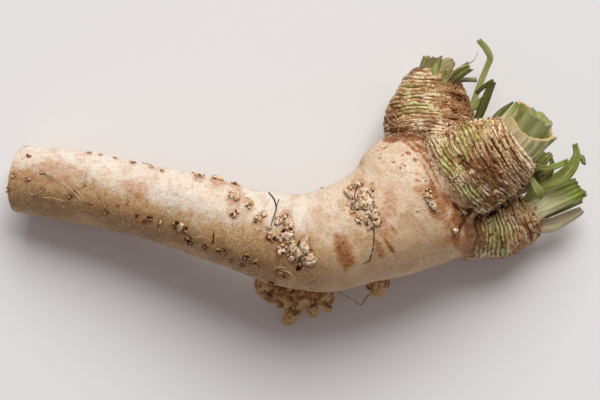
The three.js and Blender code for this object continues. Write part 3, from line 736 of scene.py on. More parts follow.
def mark_skin(mesh):
    """Masks for the skin's stains and the painted shade around and between its buds, its darker parts near
    the heads' feet, the pale side that faces the lamp as painted light, the lower flank for painted shade,
    ringed heads and cut end.
    """
    points, normals = points_and_normals(mesh)
    spots = seen(points)
    rough = 0.35 * fractal_noise(points, 4, 40)
    stain_and_shade = blots(spots, STAINS, rough) * smoothstep(-0.1, 0.3, normals[:, 2])
    # Painted shade around each bud cluster, laid into the stain mask.
    bud_shade_rings = [
        [x, y, 1.7 * along, 1.8 * across, turn, 0.5 if x < FLANK_BUDS_TO and y < -20 else 0.72]
        for x, y, along, across, turn in WARTS
    ]
    stain_and_shade = np.maximum(stain_and_shade, blots(spots, bud_shade_rings, rough))
    crown = np.full(len(points), 1e9)  # how far each point is from the nearest head's first scars
    tips = np.zeros(len(points))
    for letter, limb in heads.items():
        reach, _ = limb.place_of(points)
        crown = np.minimum(crown, HEADS[letter]["rings_from"] - reach)
        tips = np.maximum(tips, smoothstep(-2, 0, reach - HEADS[letter]["rings_to"]))
    belly = smoothstep(-6, 32, points[:, 0])
    middle = np.exp(-(((points[:, 0] + 57) / 16) ** 2))
    # The side that faces the lamp: the pale mask paints it cream as painted light, more so towards the belly
    # and near x -57.
    upward = normals @ unit([0.1, 0.8, 0.6])
    # The lower flank, which faces away from the lamp: the skin material darkens it as painted shade, less so
    # towards the belly.
    low = -normals[:, 1] + 0.3 * lattice_noise(points, 9, 61)
    shaded_flank = smoothstep(0.0, 0.45, low) * (1 - smoothstep(0.72, 0.98, low))
    masks = {
        "grain": grain_of(points),
        "shaded_flank": shaded_flank * (1 - 0.7 * smoothstep(-15, 15, points[:, 0])),
        "belly": belly,
        "near": 1 - smoothstep(2, 26, crown),
        "stain_and_shade": stain_and_shade,
        "dark_near_heads": 1 - smoothstep(-3, 10, crown + 7 * fractal_noise(points, 7, 60)),
        "pale": smoothstep(0.5 - 0.3 * belly - 0.26 * middle, 1.04 - 0.1 * middle, upward),
        "crown": 1 - smoothstep(-1.5, 0.5, crown),
        "green": blots(spots, GREENISH),
        "tip": tips,
        "cut": smoothstep(-0.25, -0.05, (points - CUT_POINT) @ unit(CUT_FACES)),
    }
    for name, values in masks.items():
        set_attribute(mesh, name, values)


def make_skin():
    """The root's skin, with its swellings, its cut end and its masks."""
    piece = skin_shape()
    swell_skin(piece.data)
    cut_thin_end(piece.data)
    mark_skin(piece.data)
    return piece


# ------------------------------------------------------------------ the ringed heads
def wear(spots):
    """How crumbled, torn off, green and sheeted the leaf scars are at each seen position."""
    return [blots(spots, rows) for rows in (CRUMBLED, TORN_OFF, GREENISH, SHEETED)]


def leaf_scar(heap, limb, start, width, middle, spread, tilt, rise, seed):
    """One leaf scar: a thin ragged sheet that clasps part of a head and leans to its tip."""
    columns = int(spread * limb.read(limb.half, start)[0] / SCAR_COLUMN)
    share = np.linspace(-1, 1, columns)[:, None]
    along, height, rim, groove = [column[None] + 0 * share for column in np.array(SCAR).T]
    angle = middle + spread / 2 * share + 0 * along
    ground = limb.surface(start + 0 * angle, angle)
    spots = seen(ground)
    crumbled, torn, green, sheeted = wear(spots)
    wave = tilt * share + 0.6 * lattice_noise(ground, 12, seed) + 0.3 * lattice_noise(ground, 4, seed + 1)
    fine = lattice_noise(ground, 1.5, seed + 2) + 0.6 * lattice_noise(ground, 0.7, seed + 3)
    ragged = fine * (0.2 + 0.3 * crumbled - 0.12 * green)
    ends = smoothstep(0, 0.16, 1 - np.abs(share))
    tall = rise + 0.7 * lattice_noise(ground, 7, seed + 4) + ragged
    tall = tall + 0.5 * sheeted + 0.3 * crumbled - 1.3 * torn - 1.8 * np.minimum(green, 1) * (1 - sheeted)
    tall = tall * ends - 1.2 * (1 - ends)
    root = -CORE_INSET - SCAR_ROOT
    reach = np.clip(start + width * (along + wave + 2.4 * ragged * rim), 0.2, limb.length)
    lift = root + height * (tall - root) + 0.5 * fine * rim
    dry = lattice_noise(ground, 5, seed + 6) + 0.8 * crumbled - 0.5 * green - 0.7 * sheeted - 0.05
    # The groove mask is painted shade at the sheet's foot and under its rim, and the crest mask a painted
    # highlight along its rim.
    heap.add(
        *closed_tube(limb.surface(reach, angle, lift)),
        rim=ended(rim),
        bare=ended(0 * rim),
        groove=ended(groove, 1, 1),
        crest=ended(0.6 * smoothstep(0.3, 0.5, rim) * (1 - crumbled)),
        clean=ended(np.clip(green + 0.5 * sheeted, 0, 1)),
        tint=ended(lattice_noise(ground, 9, seed + 5) + 1.1 * green - 0.6 * sheeted - 0.4),
        dry=ended(dry),
        flow=ended(np.stack([reach, 3 * angle, lift + seed], -1)),
    )


def fold_layers(ground, reach, spacing, green, seed):
    """Two layers of folds that overlap in patches: how points bulge, their phase and their layer."""
    layers = []
    for layer in range(2):
        phase = reach / spacing + 0.43 * layer + 0.9 * lattice_noise(ground, 15, seed + layer)
        phase += 0.3 * lattice_noise(ground, 4.5, seed + 10 + layer)
        bulge = np.sin(math.pi * (phase - np.floor(phase)) ** 1.4) ** 0.6
        patch = layer * (2.6 * lattice_noise(ground, 14, seed + 20) - 1.0 - 1.6 * green)
        layers.append([bulge + patch, bulge, phase])
    best = layers[1][0] > layers[0][0]
    bulge, phase = [np.where(best, upper, lower) for lower, upper in zip(layers[0][1:], layers[1][1:])]
    return bulge, phase, best


def settle(ground, reach, surface, seed):
    """Where a head's folds show, and how points move so that elsewhere they lie just in the skin."""
    nearest, facing = surface.nearest(ground)
    clear = ((ground - nearest) * facing).sum(-1)
    shown = smoothstep(-3.0, 0.8, clear + 1.2 * lattice_noise(ground, 6, seed + 34))
    shown *= smoothstep(0, 6, reach - reach[0] + 1.5 * lattice_noise(ground, 5, seed + 37) - 1)
    level = np.clip(-clear, 0, None) - (np.clip(clear, 0, None) + 0.4) * (1 - shown)
    return shown, facing * level[..., None]


def head_folds(heap, surface, letter):
    """The ground of a head: soft folds, the feet of fallen leaves, that run round it and merge."""
    head, limb = HEADS[letter], heads[letter]
    seed = 300 * (1 + "abc".index(letter))
    angle = round_angles(FOLD_COLUMNS)
    reach = np.arange(head["rings_from"] - 4, limb.length, FOLD_STEP)[:, None] + 0 * angle
    angle = angle + 0 * reach
    ground = limb.surface(reach, angle)
    spots = seen(ground)
    crumbled, torn, green, sheeted = wear(spots)
    sheeted = np.maximum(sheeted, crumbled)
    crevice = blots(spots, CREVICES[letter])
    bulge, phase, layer = fold_layers(ground, reach, head["fold"], green, seed)
    fold = np.floor(phase) + 17 * layer
    tone = lattice_noise(np.stack([7.3 * fold, 1.1 * angle, 0 * fold], -1), 1, seed)

    # How far they stand out, and over the fold towards the tip.
    lines = np.cos(2 * math.pi * (2 * phase + 0.3 * lattice_noise(ground, 5, seed + 30)))
    lined = smoothstep(-0.6, 0.2, lattice_noise(ground, 6, seed + 35))
    fine = lattice_noise(ground, 1.3, seed + 31) + 0.6 * lattice_noise(ground, 0.6, seed + 32)
    high = FOLD_HEIGHT * (0.85 + 0.7 * tone) * head["fold"] / 2.6
    lift = high * (bulge - 0.6) * (1 - 0.5 * torn) + 0.4 * lattice_noise(ground, 9, seed + 33)
    lift += 0.2 * lines * lined + fine * (0.08 + 0.3 * crumbled) - 0.5 * torn - 0.9 * sheeted - 1.2 * crevice
    over = 0.8 * smoothstep(0.5, 0.95, bulge) * smoothstep(0.4, 0.8, phase - np.floor(phase))

    # They sink into the skin at the head's foot and where another limb covers them.
    shown, move = settle(ground, reach, surface, seed)
    grid = limb.surface(np.minimum(reach + over, limb.length), angle, lift * shown) + move

    # Where the crests get a painted highlight, how clean and dry they are, and the painted shade in their
    # grooves and where two heads press together.
    mark_share = smoothstep(-0.35, 0.25, lattice_noise(ground, 7, seed + 38) + 0.4 * tone)
    clean = green + 0.8 * smoothstep(-0.1, 0.4, lattice_noise(ground, 10, seed + 39)) - crumbled
    clean = np.clip(clean, 0, 1)
    groove = 1 - smoothstep(0.05, 0.68 - 0.25 * clean, bulge)
    groove = groove * (0.85 + 0.3 * fine) * (0.3 + 0.7 * shown)
    groove = np.maximum(groove * (1 - 0.3 * np.minimum(green, 1)), 0.5 * sheeted)
    dry = lattice_noise(ground, 6, seed + 36) + 0.9 * crumbled - 0.7 * green
    dry += head["dried"] + head["drier_right"] * (ground[..., 0] - limb.centre[0, 0])
    heap.add(
        *closed_tube(grid),
        rim=ended(0.9 * smoothstep(0.2, 0.95, -lines) * lined),
        bare=ended(1 - shown),
        groove=ended(np.maximum(groove, 1.2 * crevice), 0.2, 0.2),
        crest=ended(smoothstep(0.6, 1.0, bulge + 0.25 * fine) * shown * (1 - 0.7 * crumbled) * mark_share),
        clean=ended(clean),
        tint=ended(0.8 * tone + 0.9 * green - 0.3),
        dry=ended(dry),
        flow=ended(np.stack([reach, 3 * angle, lift], -1)),
    )


def scatter_crumbs(heap, letter, random):
    """Loose flakes on a head, larger where its leaf scars have crumbled."""
    head, limb = HEADS[letter], heads[letter]
    for _ in range(CRUMBS):
        distance = random.uniform(head["rings_from"] - 2, head["rings_to"])
        ground = limb.surface(np.array([distance]), random.uniform(-0.9, math.pi + 0.9), np.array([0.2]))
        size = random.uniform(0.25, 0.55) * (1 + 0.9 * blots(seen(ground), CRUMBLED)[0])
        points, faces = chip(ground[0], size, random)
        tone = random.uniform(-1, 1)
        marks = {"rim": 0.5, "bare": 0, "groove": 0, "crest": 0, "clean": 0, "tint": tone, "dry": 0.5 - tone}
        marks = {name: np.full(len(points), value) for name, value in marks.items()}
        heap.add(points, faces, flow=20 * random.normal(size=3) + points, **marks)


def crown_rings(surface, letter):
    """A head's leaf scars, ring after ring of overlapping sheets, with crumbs between them."""
    head, limb = HEADS[letter], heads[letter]
    random = np.random.RandomState(100 * (1 + "abc".index(letter)))
    width = (head["rings_to"] - head["rings_from"]) / head["rings"]
    heap = Heap()
    head_folds(heap, surface, letter)
    for ring in range(head["rings"]):
        sheets = random.randint(2, 4)
        first = random.uniform(0, 2 * math.pi)
        for sheet in range(sheets):
            middle = first + 2 * math.pi * (sheet + random.uniform(-0.1, 0.1)) / sheets
            spread = 2 * math.pi / sheets * random.uniform(1.05, 1.4)
            start = head["rings_from"] + width * (ring + random.uniform(-0.3, 0.3))
            tilt = random.uniform(-0.8, 0.8)
            rise = SCAR_RISE - 0.9 / (1 + ring) + random.uniform(-0.35, 0.25)
            leaf_scar(heap, limb, start, width, middle, spread, tilt, rise, random.randint(1, 9999))
        middle = random.uniform(0, math.pi)
        start = head["rings_from"] + width * (ring + 0.5)
        spread = random.uniform(0.5, 1.6)
        tilt = random.uniform(-0.5, 0.5)
        rise = SCAR_RISE - 0.2
        leaf_scar(heap, limb, start, 0.8 * width, middle, spread, tilt, rise, random.randint(1, 9999))
    scatter_crumbs(heap, letter, random)
    return heap.make(f"crown_rings_{letter}")


# ------------------------------------------------------------------ marks on the skin's surface
class Surface:
    """A finished mesh that other pieces are set on."""

    def __init__(self, mesh):
        faces = [list(polygon.vertices) for polygon in mesh.polygons]
        self.tree = BVHTree.FromPolygons(points_and_normals(mesh)[0].tolist(), faces)

    def under(self, x, y):
        """The point that the camera sees at a mark, and the way the surface faces there."""
        aim = Vector((x, y, MARK_HEIGHT))
        point, normal, _, _ = self.tree.ray_cast(Vector(CAMERA), aim - Vector(CAMERA))
        if point is None:
            point, normal, _, _ = self.tree.find_nearest(aim)
        return np.array(point), np.array(normal)

    def nearest(self, points):
        """The nearest point of the surface to each point, and the way it faces there."""
        found = [self.tree.find_nearest(Vector(point))[:2] for point in points.reshape(-1, 3)]
        return [np.array(part).reshape(points.shape) for part in zip(*found)]

    def beside(self, limb, distance, angle):
        """The outermost point of the surface at an angle around a limb, and the way it faces."""
        distance, angle = np.array([distance]), np.array([angle])
        centre = limb.read(limb.centre, distance)[0]
        outward = unit(limb.surface(distance, angle)[0] - centre)
        point, normal, _, _ = self.tree.ray_cast(Vector(centre + OUTSIDE * outward), Vector(-outward))
        return np.array(point), np.array(normal)


def frame_on(normal, turn):
    """A direction along the surface, turned from +X seen from above, the one across it and the normal."""
    along = np.array([math.cos(turn), math.sin(turn), 0.0])
    along = unit(along - normal * (along @ normal))
    return np.array([along, np.cross(normal, along), normal])


def unit_ball(level):
    """The points and triangles of a round ball."""
    shape = bmesh.new()
    bmesh.ops.create_icosphere(shape, subdivisions=level, radius=1)
    points = np.array([vertex.co[:] for vertex in shape.verts])
    faces = [[vertex.index for vertex in face.verts] for face in shape.faces]
    shape.free()
    return points, faces


COARSE_BALL, BALL, FINE_BALL = unit_ball(2), unit_ball(3), unit_ball(4)


def wart(heap, point, normal, along, across, turn, random):
    """A whorl of small buds around a hollow: rough balls, with painted shade where they dip, grow together
    or meet the skin, and on those that face away from the lamp.
    """
    frame = frame_on(normal, turn)
    ball, faces = BALL if normal[2] > 0 else COARSE_BALL
    if point[0] < SMALL_BUDS_TO:
        along = 0.9 * along
    small = min(along, across)
    count = 2 + int(1.1 * (along + across) / 2)
    bearing = 2 * math.pi * (np.arange(count) + random.uniform(-0.3, 0.3, count)) / count
    out = random.uniform(0.45, 0.75, count)
    height = random.uniform(0.0, 0.4, count) * small
    centres = np.stack([along * out * np.cos(bearing), across * out * np.sin(bearing), height], -1)
    radii = np.r_[small * random.uniform(0.36, 0.6, count), 0.45 * small]
    middle = [random.uniform(-0.2, 0.2) * along, random.uniform(-0.2, 0.2) * across, -0.1 * small]
    centres = np.vstack([centres, middle])
    # Painted shade on buds that face away from the lamp, and their own brown nearer the thin end.
    dull = 0.6 * smoothstep(0.0, 0.6, -normal[1]) + 0.45 * (point[0] < SMALL_BUDS_TO)
    dull += 0.35 * (SMALL_BUDS_TO < point[0] < FLANK_BUDS_TO and normal[1] < -0.3)
    for centre, radius in zip(centres, radii):
        shape = ball * radius * random.uniform(0.8, 1.25, 3)
        shift = random.uniform(-50, 50, 3)
        rough = 0.4 * lattice_noise(shape + shift, 0.9 * radius, 5)
        rough += 0.26 * lattice_noise(shape + shift, 0.42 * radius, 6)
        local = centre + shape * (1 + rough)[:, None]
        gaps = np.linalg.norm(local[:, None] - centres, axis=2) / radii
        # Masks for painted shade: where the buds meet or dip, and at their foot by the skin.
        meeting = 1 - smoothstep(0.85, 1.15, gaps.min(1))
        meeting = np.maximum(meeting, 1 - smoothstep(-0.3, -0.12, rough))
        low = 1 - smoothstep(-0.1 * radii.max(), 0.9 * radii.max(), local[:, 2])
        heap.add(point + local @ frame, faces, meeting=meeting, low=low, dull=dull + 0 * low)


def make_warts(surface):
    """The clusters of buds named above, and more of them around the sides that are not seen."""
    random = np.random.RandomState(12)
    heap = Heap()
    for x, y, along, across, turn in WARTS:
        wart(heap, *surface.under(x, y), along, across, math.radians(turn), random)
    for _ in range(HIDDEN_WARTS):
        angle = random.uniform(math.pi + 0.4, 2 * math.pi - 0.1)
        point, normal = surface.beside(taproot, random.uniform(14, 205), angle)
        if point[2] > 3:
            size = random.uniform(0.7, 1.9)
            wart(heap, point, normal, size, size * random.uniform(0.6, 1), random.uniform(0, 3), random)
    return heap.make("bud_clusters")


def make_buds(surface):
    """The larger smooth swellings in the clusters."""
    random = np.random.RandomState(31)
    heap = Heap()
    for x, y, along, across, turn, height in BUDS:
        point, normal = surface.under(x, y)
        shape = FINE_BALL[0] * [along, across, height]
        place = shape + random.uniform(-50, 50, 3)
        rough = 0.34 * lattice_noise(place, 2.0, 5) + 0.28 * fractal_noise(place, 0.9, 6)
        crease = 1 - smoothstep(0.0, 0.14, np.abs(lattice_noise(place, 1.9, 7)))
        crease = np.maximum(crease, 0.7 - 0.7 * smoothstep(0.0, 0.2, np.abs(lattice_noise(place, 1.0, 8))))
        local = shape * (1 + rough - 0.22 * crease)[:, None]
        # Masks for painted shade: at the foot by the skin, and in the creases and dips.
        low = 1 - smoothstep(-0.1 * height, 0.8 * height, local[:, 2])
        hollow = np.maximum(1 - smoothstep(-0.35, 0.02, rough), crease)
        points = point + local @ frame_on(normal, math.radians(turn))
        heap.add(points, FINE_BALL[1], meeting=hollow, low=low, dull=0 * low)
    return heap.make("pale_buds")


def thread(heap, knots, radius):
    """A thin tapering thread through the knots."""
    taper = radius * np.linspace(1, 0.4, len(knots))
    limb = Limb(np.column_stack([knots, taper, taper]))
    distance = np.linspace(0, limb.length, max(8, int(limb.length / 0.5)))[:, None]
    angle = round_angles(6)
    heap.add(*closed_tube(limb.surface(distance + 0 * angle, angle + 0 * distance)))


def make_threads(name, rows, surface):
    """Threads over the skin past marks, lifted off it between their ends."""
    heap = Heap()
    for radius, *marks in rows:
        found = [(*surface.under(x, y), lift) for x, y, lift in marks]
        thread(heap, [point + normal * lift for point, normal, lift in found], radius)
    return heap.make(name)


def make_hairs(surface):
    """Short fine root hairs that stand up from the skin around marks."""
    random = np.random.RandomState(77)
    heap = Heap()
    for count, x, y, spread, length in HAIRS:
        for _ in range(count):
            point, normal = surface.under(x + random.normal() * spread, y + random.normal() * spread)
            frame = frame_on(normal, random.uniform(0, 2 * math.pi))
            reach = length * random.uniform(0.5, 1.2)
            bend = random.uniform(-0.5, 0.5) * reach
            way = [[0, 0, 0], [0.3, 0.1 * bend, 0.3], [0.7, 0.5 * bend, 0.32], [1, bend, 0.1]]
            thread(heap, point + np.array(way) * [reach, 1, reach] @ frame, random.uniform(0.1, 0.17))
    return heap.make("root_hairs")


# ------------------------------------------------------------------ stalks, sheath and side roots
def make_shoot(name, channel, ribs, torn, stations, rib_height=0.12, lumpy=0.1, sunk=0.5):
    """A ribbed shoot with a channel along its upper face and a ragged end, sunk in or blunt."""
    limb = Limb(stations)
    seed = sum(map(ord, name))
    girth = float(np.mean(limb.half))
    angle = round_angles(max(36, 5 * ribs))
    circle = np.concatenate([girth * np.cos(angle), girth * np.sin(angle), 0 * angle])
    share = np.linspace(0, 1, max(10, int(limb.length / 0.6)))[:, None]
    edge = lattice_noise(circle.T + seed, 2.2, seed) + 0.7 * lattice_noise(circle.T + seed, 0.8, seed + 1)
    end = torn * edge[None] + SLANTS.get(name, 0.0) * np.cos(angle)
    distance = share * limb.length + end * share**4
    angle = angle + 0 * distance
    fibre = np.stack([girth * np.cos(angle), girth * np.sin(angle), 0.12 * distance], -1)
    dip = channel * np.exp(-(((angle - math.pi / 2) / 0.6) ** 2))
    rib = np.cos(ribs * angle + 2.6 * lattice_noise(fibre, 4, seed + 2))
    rib *= 0.6 + 0.9 * lattice_noise(fibre, 2.5, seed + 4)
    swell = lumpy * fractal_noise(fibre * [1, 1, 4], 2.5, seed + 3)
    # The dips between lumps, which the bark material darkens as painted shade.
    low = 1 - smoothstep(-0.45 * lumpy, 0.05 * lumpy, swell)
    lift = rib_height * rib + swell
    lift -= dip * limb.read(limb.half, distance)[..., 1]
    grid = limb.surface(distance, angle, lift)
    middle = grid[-1].mean(0)
    depth = limb.axis[-1] * sunk * 0.5 * limb.half[-1].min()
    face = [grid[-1] + (middle - grid[-1]) * inward - deep * depth for inward, deep in CUT_FACE]

    def with_face(values, *ends):
        return np.concatenate([values, *(np.broadcast_to(end, values[:1].shape) for end in ends)])

    heap = Heap()
    heap.add(
        *closed_tube(np.concatenate([grid, np.stack(face)])),
        length=ended(with_face(share + 0 * angle, 1.0, 1.0, 1.0), 0, 1),
        rib=ended(with_face(rib, 0.3, 0.3, 0.3), 0, 0.3),
        low=ended(with_face(low, 0.0, 0.0, 0.0)),
        cut=ended(with_face(0 * rib, 0.5, 1.0, 1.0), 0, 1),
        fibre=ended(with_face(fibre, fibre[-1], fibre[-1], fibre[-1]), fibre[0, 0], fibre[-1, 0]),
    )
    piece = heap.make(name)
    set_attribute(piece.data, "tone", np.full(len(piece.data.vertices), TONES.get(name, 0.0)))
    return piece


def make_knobs():
    """Rough knobs of bark where the side roots leave the belly, and two brown buds on the third head."""
    random = np.random.RandomState(5)
    heap = Heap()
    for x, y, z, radius in BARK_KNOBS:
        shape = FINE_BALL[0] * radius * random.uniform(0.8, 1.2, 3)
        rough = 0.34 * lattice_noise(shape + x, radius, 9) + 0.2 * fractal_noise(shape + x, 0.4 * radius, 10)
        points = shape * (1 + rough)[:, None] + [x, y, z]
        # The dips of each knob, which the bark material darkens as painted shade.
        low = 1 - smoothstep(-0.2, 0.05, rough)
        heap.add(points, FINE_BALL[1], length=0.4 + 0 * rough, cut=0 * rough, low=low, fibre=points)
    return heap.make("bark_knobs")


def make_sheath():
    """The open sheath: a ribbed wall with a torn rim, green inside."""
    limb = Limb(SHEATH)
    angle = round_angles(240)
    circle = np.stack([np.cos(angle[0]), np.sin(angle[0]), 0 * angle[0]], -1) * SHEATH_RADIUS
    rim = np.interp(np.degrees(angle[0]), *np.array(SHEATH_RIM, float).T)
    rim = rim + 0.9 * lattice_noise(circle, 5, 71) + 0.35 * lattice_noise(circle, 1.2, 72)
    up, down = SHEATH_ROWS
    share = np.r_[np.linspace(0, 1, up), np.linspace(1, 0.3, down)][:, None]
    inner = np.repeat([0.0, 1.0], SHEATH_ROWS)[:, None] + 0 * angle
    distance = share * rim
    turned = angle + 0 * distance
    fibre = np.stack(
        [SHEATH_RADIUS * np.cos(turned), SHEATH_RADIUS * np.sin(turned), 0.15 * distance], -1
    )
    rib = np.cos(17 * turned + 4.4 * lattice_noise(fibre * [1, 1, 0.3], 7, 73))
    rib *= 0.5 + lattice_noise(fibre, 5, 76)
    lift = 0.2 * rib * (1 - 0.6 * inner) + 0.35 * lattice_noise(fibre * [1, 1, 4], 5, 74)
    flare = smoothstep(0.6, 1.0, distance / SHEATH_LENGTH)
    lip = np.exp(-(((turned - 2.95) / 0.3) ** 2))
    lift += flare * (lattice_noise(circle, 9, 75) - 0.9 + 1.8 * lip)
    lift -= inner * (SHEATH_WALL * (0.75 + 0.35 * (1 - share)))
    heap = Heap()
    heap.add(
        *closed_tube(limb.surface(distance, turned, lift)),
        length=ended(share + 0 * angle, 0, 0.2),
        rib=ended(rib),
        inner=ended(inner, 0, 1),
        side=ended(smoothstep(-3, 11, -fibre[..., 0])),
        fibre=ended(fibre, 0, [0, 0, 1]),
    )
    return heap.make("leaf_sheath_b2")


# ------------------------------------------------------------------ materials
class Material:
    """A node material whose colours are laid one over another where masks say.

    Its methods add nodes and give back the socket to read.
    """

    def __init__(self, name, roughness, specular):
        self.material = bpy.data.materials.new(name)
        self.material.use_nodes = True
        self.tree = self.material.node_tree
        self.shader = self.tree.nodes["Principled BSDF"]
        self.shader.inputs["Roughness"].default_value = roughness
        self.shader.inputs["Specular IOR Level"].default_value = specular

    def connect(self, value, socket):
        if isinstance(value, bpy.types.NodeSocket):
            self.tree.links.new(value, socket)
        else:
            socket.default_value = value

    def node(self, kind, output, inputs, **settings):
        node = self.tree.nodes.new("ShaderNode" + kind)
        for name, value in settings.items():
            setattr(node, name, value)
        for key, value in inputs.items():
            self.connect(value, node.inputs[key])
        return node.outputs[output]

    def attribute(self, name, output="Fac"):
        return self.node("Attribute", output, {}, attribute_name=name)

    def place(self):
        return self.node("TexCoord", "Object", {})

    def stretched(self, vector, *scale):
        return self.node("VectorMath", 0, {0: vector, 1: scale}, operation="MULTIPLY")

    def noise(self, vector, scale, detail=3.0, rough=0.55):
        inputs = {"Vector": vector, "Scale": scale, "Detail": detail, "Roughness": rough}
        return self.node("TexNoise", "Fac", inputs)

    def add(self, first, second):
        return self.node("Math", 0, {0: first, 1: second}, operation="ADD")

    def times(self, first, second):
        return self.node("Math", 0, {0: first, 1: second}, operation="MULTIPLY")

    def between(self, value, low, high, start=0.0, end=1.0):
        """Passes smoothly from start to end while value passes from low to high."""
        limits = {"Value": value, "From Min": low, "From Max": high, "To Min": start, "To Max": end}
        return self.node("MapRange", "Result", limits, interpolation_type="SMOOTHSTEP")

    def patches(self, vector, scale, detail, rough, low, high, share=1.0):
        """Patches of noise, where it is over low to high."""
        return self.between(self.noise(vector, scale, detail, rough), low, high, 0.0, share)

    def frayed(self, name, noise, depth, low, high, share=1.0):
        """Where one of the mesh's masks passes from low to high, its edge moved by noise."""
        return self.between(self.add(self.attribute(name), self.times(noise, depth)), low, high, 0.0, share)

    def mix(self, share, *colours):
        """One colour and another over it; each is a socket, or what a screen shows, 0 to 255."""
        under, over = [paint(*colour) if isinstance(colour, tuple) else colour for colour in colours]
        return self.node("Mix", 2, {0: share, 6: under, 7: over}, data_type="RGBA")

    def lay(self, share, colour):
        self.colour = self.mix(share, self.colour, colour)

    def bump(self, height, distance):
        """Bumps of a depth in millimetres, on top of those before."""
        inputs = {"Distance": distance * MM, "Height": height}
        normal = self.shader.inputs["Normal"]
        if normal.is_linked:
            inputs["Normal"] = normal.links[0].from_socket
        self.connect(self.node("Bump", 0, inputs), normal)

    def done(self):
        self.connect(self.colour, self.shader.inputs["Base Color"])
        return self.material


def paint(red, green, blue):
    """A colour given as a screen shows it, 0 to 255."""
    shown = np.array([red, green, blue]) / 255
    linear = np.where(shown <= 0.04045, shown / 12.92, ((shown + 0.055) / 1.055) ** 2.4)
    return (*linear.tolist(), 1.0)


def skin_ground(m, grain, pale, belly):
    """Tan, and cream in patches on the side that faces the lamp, as painted light. Gives back the cream."""
    broad = m.patches(grain, 0.07, 3, 0.55, 0.35, 0.7)
    tan = m.mix(broad, (210, 172, 122), (188, 148, 96))
    tan = m.mix(m.between(belly, 0, 1, 0, 0.6), tan, (232, 196, 148))
    cream = m.mix(broad, (235, 227, 214), (229, 210, 187))
    cream = m.mix(m.between(belly, 0, 1, 0, 0.65), cream, (222, 188, 148))
    patchy = m.between(m.noise(grain, 0.16, 4, 0.6), 0.3, 0.68, -0.18, 0.22)
    m.colour = m.mix(m.between(m.add(pale, patchy), 0, 1), tan, cream)
    return cream


def skin_flecks(m, grain, across, weave, pale, belly, cream):
    """Fine lines, blotches, dashes and specks, laid weaker on the pale side that faces the lamp, and painted
    shade on the lower flank.
    """
    # upper follows the pale side that faces the lamp, which is painted light, and the belly; the marks below
    # are laid by how much of it there is.
    upper = m.add(pale, m.times(belly, 0.6))
    lines = m.patches(across, 0.55, 5, 0.65, 0.48, 0.72, 0.4)
    m.lay(m.times(lines, m.between(upper, 0, 1, 1.0, 0.3)), (176, 132, 90))
    blotches = m.patches(m.stretched(grain, 1.0, 1.0, 1.4), 0.13, 5, 0.65, 0.42, 0.5)
    blotches = m.mix(blotches, (190, 140, 96), m.mix(0.5, cream, (246, 236, 216)))
    m.lay(m.between(upper, 0.2, 0.8, 0.0, 0.3), blotches)
    dashes = m.patches(weave, 0.9, 5, 0.7, 0.5, 0.64, 0.45)
    m.lay(m.times(dashes, m.between(upper, 0, 1, 0.3, 1.0)), (200, 148, 104))
    specks = m.patches(m.stretched(grain, 0.7, 0.7, 1.3), 0.9, 2, 0.55, 0.64, 0.72)
    m.lay(m.times(specks, m.patches(grain, 0.07, 2, 0.55, 0.42, 0.62, 0.7)), (128, 78, 46))
    m.lay(m.patches(weave, 1.3, 4, 0.65, 0.54, 0.68, 0.4), (242, 230, 212))
    # Painted shade on the lower flank, away from the lamp, in patches.
    shaded = m.between(m.noise(grain, 0.25), 0.2, 0.6, 0.3, 0.75)
    m.lay(m.times(m.attribute("shaded_flank"), shaded), (150, 116, 66))
    # Light patches and flecks, laid weaker on the pale side that faces the lamp and on the belly.
    mark_share = m.between(m.add(pale, belly), 0.2, 0.9, 1.0, 0.35)
    light = m.patches(m.stretched(grain, 0.6, 0.6, 1.3), 0.8, 4, 0.65, 0.53, 0.64, 0.5)
    m.lay(m.times(light, mark_share), (232, 208, 168))
    flecks = m.patches(m.stretched(grain, 0.8, 0.8, 1.4), 1.0, 5, 0.75, 0.52, 0.6, 0.6)
    m.lay(m.times(flecks, mark_share), (126, 80, 42))
    m.lay(m.times(m.patches(grain, 2.8, 3, 0.7, 0.54, 0.66, 0.6), mark_share), (136, 88, 50))


def skin_stains(m, grain, stain_and_shade):
    """Rust spots near the heads, and stains that darken towards their middles; the near-black last layer is
    painted shadow where the strongest rows lie.
    """
    for size, rust, far in ((0.3, (126, 72, 38), 0.62), (0.62, (158, 96, 52), 0.5)):
        cells = m.node("TexVoronoi", "Distance", {"Vector": grain, "Scale": size})
        spots = m.between(m.add(cells, m.noise(grain, 0.9)), 0.68, 0.57, 0.0, 0.85)
        m.lay(m.times(spots, m.frayed("near", m.noise(grain, 0.14), 1, far, far + 0.12)), rust)

    # How deep their edge frays, where they begin and are full, how strong, and their colour.
    inside = m.between(stain_and_shade, 0.0, 0.25)
    broken = m.noise(m.stretched(grain, 1.3, 1.3, 0.5), 1.0, 6, 0.8)
    for depth, low, high, share, brown in (
        (1.4, 0.85, 1.7, 0.6, (184, 114, 58)),
        (3.2, 2.15, 3.1, 0.85, (140, 76, 26)),
        (5.0, 3.7, 4.4, 0.7, (94, 46, 10)),
        # Painted shadow, near black, at the strongest rows; it also darkens the middles of the strongest
        # stains.
        (2.0, 2.3, 3.1, 0.9, (34, 16, 4)),
    ):
        m.lay(m.times(m.frayed("stain_and_shade", broken, depth, low, high, share), inside), brown)


